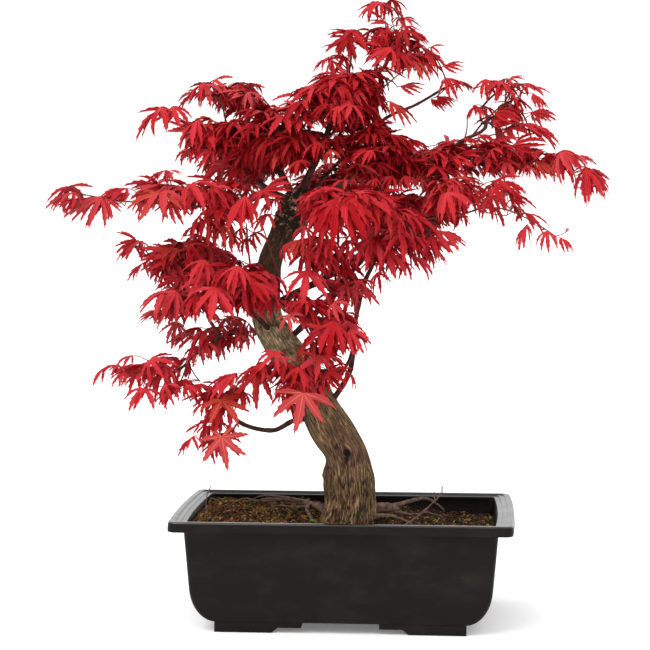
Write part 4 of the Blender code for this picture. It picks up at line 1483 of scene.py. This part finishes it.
def growFoliage():
    rng = np.random.default_rng(foliage["seed"])
    shapes = makeLeafShapes(rng)
    leaves = placeLeaves(rng, shapes, placeSetLeaves(rng, shapes))
    print("outer leaves placed:", len(leaves))
    leaves += placeInnerLeaves(rng, shapes, foliage["innerLeaves"])
    print("leaves placed:", len(leaves))
    joints = addJoints(rng, leaves)
    places, parents, limbCount, jointNode = growTwigs(rng, joints, touchingMasses())
    print("twigs grown:", len(joints), "joints,", len(places), "points")
    twigs = newBatch()
    makeTwigs(places, parents, limbCount, jointNode, leaves, twigs)
    tintLeaves(rng, leaves)
    for leaf in leaves:
        addPetiole(twigs, places[jointNode[leaf["joint"]]], leaf)

    materials = [newMaterial("leafRed%d" % i, tint, 0.5, 0.12) for i, tint in enumerate(leafLitAndShadedTints)]
    materials += [newMaterial(name, tint, 0.45, 0.20) for name, tint in veinTints.items()]
    for name, starts in leafPieces.items():
        batch = newBatch()
        owned = [number for number, mass in enumerate(masses) if mass["name"].startswith(starts)]
        for leaf in leaves:
            if leaf["mass"] in owned:
                shape, tint, vein = leaf["shape"], leaf["tint"], leaf["vein"]
                addShape(batch, leafPoints(leaf), shape["quads"], shape["tris"],
                         np.where(shape["quadVein"], vein, tint), np.where(shape["triVein"], vein, tint))
        addPiece(name, batch, materials, [masses[number]["name"] for number in owned], 32)
    twigMaterials = [newMaterial("twig" + name.capitalize(), tint, 0.6, 0.15)
                     for name, tint in twigTints.items()]
    addPiece("twigs", twigs, twigMaterials)


growFoliage()
print("foliage made")


# pot

pot = {
    "length": 0.280,
    "depth": 0.208,
    "height": 0.092,
    "rimDrop": 0.0087,
    "rimBow": 0.0025,
    "bodyBow": 0.0015,
    # how far in from the rim's edge and how far below its top, from the outer edge to the inner one
    "rimProfile": ((0.0105, 0.0089), (0.0022, 0.0087), (0.0007, 0.0085), (0.0001, 0.0078), (0.0, 0.0060),
                   (0.0003, 0.0012), (0.0008, 0.0004), (0.0017, 0.0), (0.0034, 0.0), (0.0054, 0.0),
                   (0.0058, 0.0002), (0.0060, 0.0007), (0.0064, 0.0009), (0.0080, 0.0009), (0.0098, 0.0009),
                   (0.0101, 0.0011),
                   (0.0103, 0.0015), (0.0107, 0.0017), (0.0136, 0.0017), (0.0142, 0.0020), (0.0147, 0.0030)),
    "glossDrop": 0.0022,
    "footHeight": 0.0085,
    "wall": 0.003,
    "endCurve": 0.026,
    "endCurveReach": 0.018,
    "endTaper": 0.0065,
    "sideTaper": 0.004,
    "endInset": 0.0118,
    "sideInset": 0.0108,
    "footOutline": ((0.103, 0.0), (0.103, 0.0097), (0.032, 0.0097), (0.032, 0.0042), (0.051, 0.0042),
                    (0.056, 0.0)),
    "footDepth": 0.026,
    "footRound": 0.0009,
    "bodyCorner": 0.005,
    "innerHeights": (0.0870, 0.080, 0.060, 0.040, 0.022, 0.0125),
    "cornerSteps": 6,
    "longSteps": 26,
    "shortSteps": 18,
    "gloss": (0.34, 0.56),
    "rimGloss": (0.12, 0.30),
    "colour": (0.0043, 0.0025, 0.0019),
    "worn": (0.022, 0.017, 0.014),
    "dust": (0.110, 0.100, 0.085),
}


def potRing(halfLength, halfDepth, corner, bow, height):
    points = []
    corners = ((1, 1), (-1, 1), (-1, -1), (1, -1))
    for turn, (sx, sy) in enumerate(corners):
        for angle in np.radians(90 * turn + np.linspace(0, 90, pot["cornerSteps"] + 1)):
            points.append((sx * (halfLength - corner) + corner * math.cos(angle),
                           sy * (halfDepth - corner) + corner * math.sin(angle)))
        nx, ny = corners[(turn + 1) % 4]
        alongX = turn % 2 == 0
        count = pot["longSteps"] if alongX else pot["shortSteps"]
        end = np.array((nx * (halfLength - corner * alongX), ny * (halfDepth - corner * (not alongX))))
        points += list(np.linspace(points[-1], end, count + 1)[1:-1])
    points = np.array(points)
    points[:, 0] += np.sign(points[:, 0]) * bow * (1 - (points[:, 1] / halfDepth) ** 2)
    return np.column_stack([points, np.full(len(points), height)]) + potMiddle


def potEndInset(height):
    underRim = pot["height"] - pot["rimDrop"]
    inset = pot["endInset"] + pot["endTaper"] * (underRim - height) / (underRim - pot["footHeight"])
    above = height - pot["footHeight"]
    if above < pot["endCurve"]:
        inset += pot["endCurveReach"] * (1 - math.sqrt(1 - (1 - above / pot["endCurve"]) ** 2))
    return inset


def potBodyRing(height, thickness):
    insetX = potEndInset(height) + thickness
    insetY = pot["sideInset"] + pot["sideTaper"] * (1 - height / pot["height"]) + thickness
    halfLength, halfDepth = pot["length"] / 2 - insetX, pot["depth"] / 2 - insetY
    return potRing(halfLength, halfDepth, pot["bodyCorner"], pot["bodyBow"], height)


def loft(rings):
    # a closed solid between rings of the same number of points
    count = len(rings[0])
    verts = np.concatenate(list(rings) + [rings[0].mean(0)[None], rings[-1].mean(0)[None]])
    side = np.arange(count)
    after = (side + 1) % count
    last = (len(rings) - 1) * count
    start = np.full(count, len(rings) * count)
    ends = [np.stack([start, after, side], 1), np.stack([start + 1, last + side, last + after], 1)]
    tris = np.concatenate(ends)
    return verts, gridFaces(len(rings), count), tris


def makePotMaterial():
    made = newMaterial("potPlastic", pot["colour"], 0.45, 0.12)
    wear = rampOn(made, noiseValue(made, 40, 8, (0.7, 0.7, 1.5), 0.6), ((0.48, 0), (0.80, 0.50)))
    colour = mixNode(made, pot["colour"], pot["worn"], wear)
    specks = rampOn(made, noiseValue(made, 420, 3, (1, 1, 1), 0.5), ((0.74, 0), (0.80, 0.5)))
    setInput(made, "Base Color", mixNode(made, colour, pot["dust"], specks))
    setInput(made, "Roughness", rangeOn(made, noiseValue(made, 35, 5, (1, 1, 2)), (0, 1), pot["gloss"]))
    addBump(made, noiseValue(made, 1500, 3), 0.12, 0.0002)
    return made


def makeRimMaterial():
    # the rim's top is rubbed smoother than the walls
    made = newMaterial("potRimTop", pot["colour"], 0.2, 0.5)
    wear = rampOn(made, noiseValue(made, 80, 6), ((0.45, pot["colour"]), (0.85, pot["worn"])))
    setInput(made, "Base Color", wear)
    setInput(made, "Roughness", rangeOn(made, noiseValue(made, 50, 5), (0, 1), pot["rimGloss"]))
    return made


def makeFoot(sx, sy):
    front = pot["depth"] / 2 - pot["sideInset"] - pot["sideTaper"] - 0.0003
    bevel, back = pot["footRound"], front - pot["footDepth"]
    outline = np.array(pot["footOutline"])
    outward = np.sign(outline - outline.mean(0))
    rings = []
    for y, shrink in ((front, bevel), (front - bevel * 0.3, bevel * 0.3), (front - bevel, 0),
                      (back + bevel, 0),
                      (back, bevel)):
        flat = outline - outward * shrink
        # the foot keeps its height where it meets the pot and never goes below the ground
        heights = outline[:, 1]
        flat[:, 1] = np.where(heights > pot["footHeight"], heights, np.maximum(flat[:, 1], heights))
        rings.append(np.column_stack([sx * flat[:, 0], np.full(len(flat), sy * y), flat[:, 1]]) + potMiddle)
    return loft(rings if sx * sy < 0 else rings[::-1])


def makePot():
    batch = newBatch()
    foot, under = pot["footHeight"], pot["height"] - pot["rimDrop"]
    rings = [potBodyRing(foot, 0.0016), potBodyRing(foot + 0.0002, 0.0005)]
    rings += [potBodyRing(foot + pot["endCurve"] * part**1.6, 0) for part in np.linspace(0.08, 1, 12)]
    rings += [potBodyRing(height, 0) for height in np.linspace(0.040, under - 0.0016, 8)]
    rings += [potBodyRing(under - 0.0004, -0.0004), potBodyRing(under - 0.0001, -0.0012)]
    for inset, drop in pot["rimProfile"][1:]:
        corner = max(0.0065 - inset * 0.3, 0.002)
        rings.append(potRing(pot["length"] / 2 - inset, pot["depth"] / 2 - inset, corner, pot["rimBow"],
                             pot["height"] - drop))
    rings += [potBodyRing(height, pot["wall"]) for height in pot["innerHeights"]]
    verts, quads, tris = loft(rings)
    flatTop = verts[quads][:, :, 2].min(1) > pot["height"] - pot["glossDrop"]
    addShape(batch, verts, quads, tris, np.where(flatTop, 1, 0))
    for sx, sy in itertools.product((-1, 1), repeat=2):
        addShape(batch, *makeFoot(sx, sy))
    addPiece("potBody", batch, [makePotMaterial(), makeRimMaterial()], ["pot"], 28)


makePot()
print("pot made")


# soil, moss, litter and surface roots

soil = {
    "seed": 5,
    "height": 0.0828,
    "fall": 0.0024,
    "dip": 0.0050,
    "halfLength": 0.1256,
    "halfDepth": 0.0908,
    "columns": 230,
    "rows": 165,
    "lumps": 0.0034,
    "grains": 0.0009,
    "skirt": 0.012,
    "margin": 0.003,
    "granules": 2600,
    "granuleSizes": (0.0005, 0.0021),
    # which of peat, bark, clay, straw and moss lie on the left and on the right; the darker mix on the right
    # is painted shade
    "granuleKinds": ((0.34, 0.34, 0.22, 0.10), (0.66, 0.25, 0.06, 0.03)),
    "fibres": 4200,
    "fibreLengths": (0.003, 0.009),
    "fibreWidths": (0.0003, 0.0009),
    # the fibres on the right are darker too, as painted shade
    "fibreKinds": ((0.22, 0.26, 0.24, 0.28), (0.44, 0.26, 0.18, 0.12)),
    "threads": 190,
    "threadSteps": 8,
    "threadLengths": (0.008, 0.022),
    "threadRises": (0.0010, 0.0045),
    "threadRadii": (0.00018, 0.00040),
    "sprouts": 16,
    "firstSprout": (-0.026, -0.052),
    "scraps": 26,
    "scrapsAt": ((0.020, 0.007), (-0.070, 0.006)),
    "scrapSize": 0.0016,
    # where the painted shade towards the right starts and where it is full
    "rightShadeFrom": (-0.02, 0.05),
    "dark": (0.007, 0.0035, 0.002),
    "brown": (0.058, 0.021, 0.007),
    "ochre": (0.200, 0.080, 0.014),
    "moss": (0.130, 0.095, 0.012),
    # the colour of the painted shade on the right
    "rightShade": (0.012, 0.006, 0.0035),
}
soilTints = {"peat": (0.008, 0.004, 0.0025), "bark": (0.040, 0.015, 0.007), "clay": (0.150, 0.055, 0.014),
             "straw": (0.300, 0.155, 0.050), "moss": (0.215, 0.175, 0.018), "sprout": (0.085, 0.150, 0.020),
             "redLitter": (0.160, 0.026, 0.016)}
# surface roots: radius at the start and the end, and the points each passes, from the pot's middle
surfaceRoots = {
    "rightStub": (0.0064, 0.0034, ((0.010, -0.022, 0.0880), (0.024, -0.020, 0.0935), (0.036, -0.010, 0.0935),
                                   (0.043, -0.002, 0.0905))),
    "right": (0.0024, 0.0010, ((0.034, -0.010, 0.0940), (0.046, 0.006, 0.0945), (0.056, 0.022, 0.0955),
                               (0.064, 0.032, 0.0960), (0.072, 0.040, 0.0930), (0.082, 0.052, 0.0830))),
    "rightLow": (0.0034, 0.0006, ((0.016, -0.028, 0.0850), (0.032, -0.028, 0.0890), (0.046, -0.024, 0.0865),
                                  (0.062, -0.030, 0.0800))),
    "rightThin": (0.0013, 0.0005, ((0.040, -0.008, 0.0900), (0.056, -0.010, 0.0880), (0.070, 0.000, 0.0880),
                                   (0.086, 0.006, 0.0820))),
    "left": (0.0042, 0.0011, ((-0.008, -0.022, 0.0860), (-0.022, -0.010, 0.0925), (-0.033, 0.010, 0.0930),
                              (-0.046, 0.028, 0.0935), (-0.060, 0.042, 0.0920), (-0.076, 0.052, 0.0900),
                              (-0.090, 0.058, 0.0820))),
    "leftFront": (0.0020, 0.0012, ((-0.030, 0.006, 0.0930), (-0.033, -0.012, 0.0925),
                                   (-0.027, -0.032, 0.0840))),
    "leftUpper": (0.0014, 0.0005, ((-0.034, 0.014, 0.0940), (-0.052, 0.020, 0.0965), (-0.068, 0.036, 0.0960),
                                   (-0.080, 0.050, 0.0930), (-0.098, 0.060, 0.0840))),
    "leftLower": (0.0013, 0.0005, ((-0.034, 0.008, 0.0910), (-0.048, 0.010, 0.0900), (-0.062, 0.022, 0.0895),
                                   (-0.074, 0.022, 0.0830))),
    "leftFar": (0.0011, 0.0005, ((-0.066, 0.046, 0.0900), (-0.082, 0.044, 0.0905), (-0.094, 0.052, 0.0910),
                                 (-0.108, 0.050, 0.0830))),
    "dryTwig": (0.0010, 0.0005, ((0.050, -0.045, 0.0825), (0.062, -0.046, 0.0920), (0.0734, -0.045, 0.1020),
                                 (0.0812, -0.045, 0.1110), (0.0816, -0.045, 0.1170))),
    "dryTwigSide": (0.0006, 0.0004, ((0.0765, -0.045, 0.1052), (0.0745, -0.044, 0.1090),
                                     (0.0752, -0.044, 0.1118))),
    "dryStem": (0.0006, 0.0004, ((-0.1115, -0.050, 0.0840), (-0.1140, -0.050, 0.0960),
                                 (-0.1136, -0.050, 0.1070),
                                 (-0.1103, -0.050, 0.1150))),
}


def soilTop(x, y):
    # the height of the soil, measured from the pot's middle
    lumps = soil["lumps"] * rough(x / 0.016, y / 0.016, 2.0, 3)
    tufts = soil["lumps"] * 0.8 * max(0.0, rough(x / 0.008, y / 0.008, 9.0, 2)) * (1.0 if x < 0.01 else 0.5)
    dip = soil["dip"] * min(max(x / 0.08, 0), 1) * min(max((y + 0.01) / 0.05, 0), 1)
    return soil["height"] - soil["fall"] * x / soil["halfLength"] - dip + lumps + tufts


def makeSoilMaterial():
    made = newMaterial("soilEarth", soil["brown"], 0.95, 0.2)
    base = rampOn(made, noiseValue(made, 190, 8, (1, 1, 1), 0.7),
                  ((0.36, soil["dark"]), (0.50, soil["brown"]), (0.68, soil["ochre"])))
    patches = rampOn(made, noiseValue(made, 42, 5, (1, 1, 1), 0.6), ((0.50, 0), (0.70, 0.8)))
    colour = mixNode(made, base, soil["moss"], patches)
    # painted shade: the soil is mixed towards a darker colour towards the right
    rightShade = rangeOn(made, axisValue(made, "X"), soil["rightShadeFrom"], (0.0, 0.6))
    setInput(made, "Base Color", mixNode(made, colour, soil["rightShade"], rightShade))
    addBump(made, noiseValue(made, 1200, 6), 0.8, 0.0012)
    return made


def makeSoil():
    columns, rows = soil["columns"], soil["rows"]
    xs = np.linspace(-soil["halfLength"], soil["halfLength"], columns)
    ys = np.linspace(-soil["halfDepth"], soil["halfDepth"], rows)
    top = np.array([(x, y, soilTop(x, y) + soil["grains"] * rough(x / 0.0022, y / 0.0022, 5.0, 2))
                    for y in ys for x in xs]) + potMiddle
    grid = np.arange(rows * columns).reshape(rows, columns)
    edge = np.concatenate([grid[0], grid[1:, -1], grid[-1, -2::-1], grid[-2:0:-1, 0]])
    skirt = top[edge]
    skirt[:, 2] = soil["height"] - soil["skirt"]
    count, start = len(edge), len(top)
    side = np.arange(count)
    after = (side + 1) % count
    walls = np.stack([edge[after], edge[side], start + side, start + after], 1)
    middle = np.full(count, start + count)
    under = np.stack([middle, start + after, start + side], 1)
    batch = newBatch()
    verts = np.concatenate([top, skirt, skirt.mean(0)[None]])
    addShape(batch, verts, np.concatenate([gridFaces(rows, columns, False), walls]), under)
    addPiece("soilSurface", batch, [makeSoilMaterial()], ["soil"])


def onSoil(x, y):
    return np.array([x, y, soilTop(x, y)]) + potMiddle


def somewhere(rng):
    x = rng.uniform(-1, 1) * (soil["halfLength"] - soil["margin"])
    y = rng.uniform(-1, 1) * (soil["halfDepth"] - soil["margin"])
    return onSoil(x, y)


def makeBall():
    # a ball of twenty triangles
    golden = (1 + math.sqrt(5)) / 2
    signs = list(itertools.product((-1, 1), repeat=2))
    corners = np.array([(a, b * golden, 0) for a, b in signs] + [(0, a, b * golden) for a, b in signs]
                       + [(b * golden, 0, a) for a, b in signs]) / 1.9
    near = [three for three in itertools.combinations(range(12), 3)
            if max(np.linalg.norm(corners[i] - corners[j])
                   for i, j in itertools.combinations(three, 2)) < 1.2]
    faces = [(i, j, k) if np.linalg.det(corners[[i, j, k]]) > 0 else (i, k, j) for i, j, k in near]
    return corners, np.array(faces)


def addGranules(rng, batch):
    corners, ball = makeBall()
    for _ in range(soil["granules"]):
        size = rng.uniform(*soil["granuleSizes"])
        shape = corners * size * rng.uniform(0.6, 1.25, (12, 1)) * rng.uniform(0.6, 1.1, 3)
        place = somewhere(rng)
        slot = rng.choice((0, 1, 2, 3), p=soil["granuleKinds"][int(place[0] >= potMiddle[0])])
        addShape(batch, shape + place + (0, 0, size * 0.2), [], ball, 0, slot)


def addFibres(rng, batch):
    # bent slivers of moss, bark or dead leaf
    for _ in range(soil["fibres"]):
        place = somewhere(rng)
        length, width = rng.uniform(*soil["fibreLengths"]), rng.uniform(*soil["fibreWidths"])
        along = turned(rng.uniform(0, math.tau), rng.normal(-0.25, 0.35))
        side = unit(np.cross(along, rng.normal(0, 1, 3))) * width
        bend = np.array([0, 0, -0.22 * length])
        half, middle = along * length / 2, place + (0, 0, 0.0006)
        verts = [place - half + bend, middle - side, middle + side, place + half + bend * 0.6]
        slot = rng.choice((1, 2, 3, 4), p=soil["fibreKinds"][int(place[0] >= potMiddle[0])])
        addShape(batch, verts, [], [(0, 1, 2), (2, 1, 3)], 0, slot)


def addThreads(rng, batch):
    # dry threads of root that arch over the soil, fewer on the right
    for _ in range(soil["threads"]):
        place = somewhere(rng)
        if place[0] > potMiddle[0] and rng.random() < 0.5:
            continue
        heading, turn = rng.uniform(0, math.tau), rng.normal(0, 1.6)
        length = rng.uniform(*soil["threadLengths"])
        steps = np.linspace(0, 1, soil["threadSteps"])
        bearing = heading + turn * steps
        points = np.stack([np.cumsum(np.cos(bearing)), np.cumsum(np.sin(bearing)), 0 * steps], 1)
        points = points * length / len(steps) + place
        points[:, 2] += rng.uniform(*soil["threadRises"]) * np.sin(steps * math.pi) - 0.0004
        if (np.abs(points[:, :2] - potMiddle[:2]) < (soil["halfLength"], soil["halfDepth"])).all():
            radii = np.full(len(steps), rng.uniform(*soil["threadRadii"]))
            verts, quads, tris = tube(points, radii, 3)
            addShape(batch, verts, quads, tris, 0, int(rng.choice((2, 3, 3))))


def addSprouts(rng, batch):
    for number in range(soil["sprouts"]):
        place = somewhere(rng)
        if number == 0:
            place = onSoil(*soil["firstSprout"])
        for _ in range(4 if number else 9):
            heading = rng.uniform(0, math.tau)
            tip = place + turned(heading, -rng.uniform(0.5, 1.2)) * rng.uniform(0.0025, 0.0055)
            across = turned(heading + math.pi / 2, 0) * rng.uniform(0.0008, 0.0016)
            waist = tip * 0.4 + place * 0.6
            verts = [place, waist - across * 0.6, waist + across * 0.6, tip - across, tip + across,
                     tip + turned(heading, 0.3) * 0.0016]
            addShape(batch, verts, [(1, 2, 4, 3)], [(0, 2, 1), (3, 4, 5)], 5, 5)


def addScraps(rng, batch):
    # scraps of red leaf in front of the trunk
    for _ in range(soil["scraps"]):
        x, y = (rng.normal(*spread) for spread in soil["scrapsAt"])
        flat = rng.normal(0, soil["scrapSize"], (4, 3)) + (onSoil(x, y) + (0, 0, 0.001))
        addShape(batch, flat, [], [(0, 1, 2), (1, 3, 2)], 0, 6)


def makeLitter():
    rng = np.random.default_rng(soil["seed"])
    batch = newBatch()
    for add in (addGranules, addFibres, addThreads, addSprouts, addScraps):
        add(rng, batch)
    materials = [newMaterial("soil" + name[0].upper() + name[1:], tint, 0.9, 0.2)
                 for name, tint in soilTints.items()]
    addPiece("soilLitter", batch, materials)


rootLook = {
    "ringGap": 0.0014,
    "sides": 14,
    "wander": 0.0006,
    "relief": 0.16,
    "reliefPitch": 0.004,
    "colour": (0.09, 0.05, 0.035),
    "dark": (0.036, 0.018, 0.013),
    "light": (0.175, 0.105, 0.078),
}


def makeRoots():
    batch = newBatch()
    look, sides = rootLook, rootLook["sides"]
    for number, (first, last, route) in enumerate(surfaceRoots.values()):
        points, length = routePoints(route, look["ringGap"])
        radii = np.zeros((len(points), sides))
        for i, part in enumerate(np.linspace(0, 1, len(points))):
            radius = last + (first - last) * (1 - part) ** 1.6
            points[i] += look["wander"] * np.array([rough(part * 9, number, seed) for seed in (1, 5, 8)])
            for j, a in enumerate(np.arange(sides) * math.tau / sides):
                along = part * length / look["reliefPitch"]
                bark = rough(math.cos(a) * 2 + 5 * number, math.sin(a) * 2, along)
                radii[i, j] = radius * (1 + look["relief"] * bark)
        addShape(batch, *tube(points, radii, sides))
    made = newMaterial("rootBark", look["colour"], 0.85, 0.25)
    mottle = noiseValue(made, 300, 5)
    setInput(made, "Base Color", rampOn(made, mottle, ((0.30, look["dark"]), (0.62, look["light"]))))
    addBump(made, noiseValue(made, 900, 5), 0.6, 0.0006)
    addPiece("surfaceRoots", batch, [made])


makeSoil()
makeLitter()
makeRoots()
print("soil made")
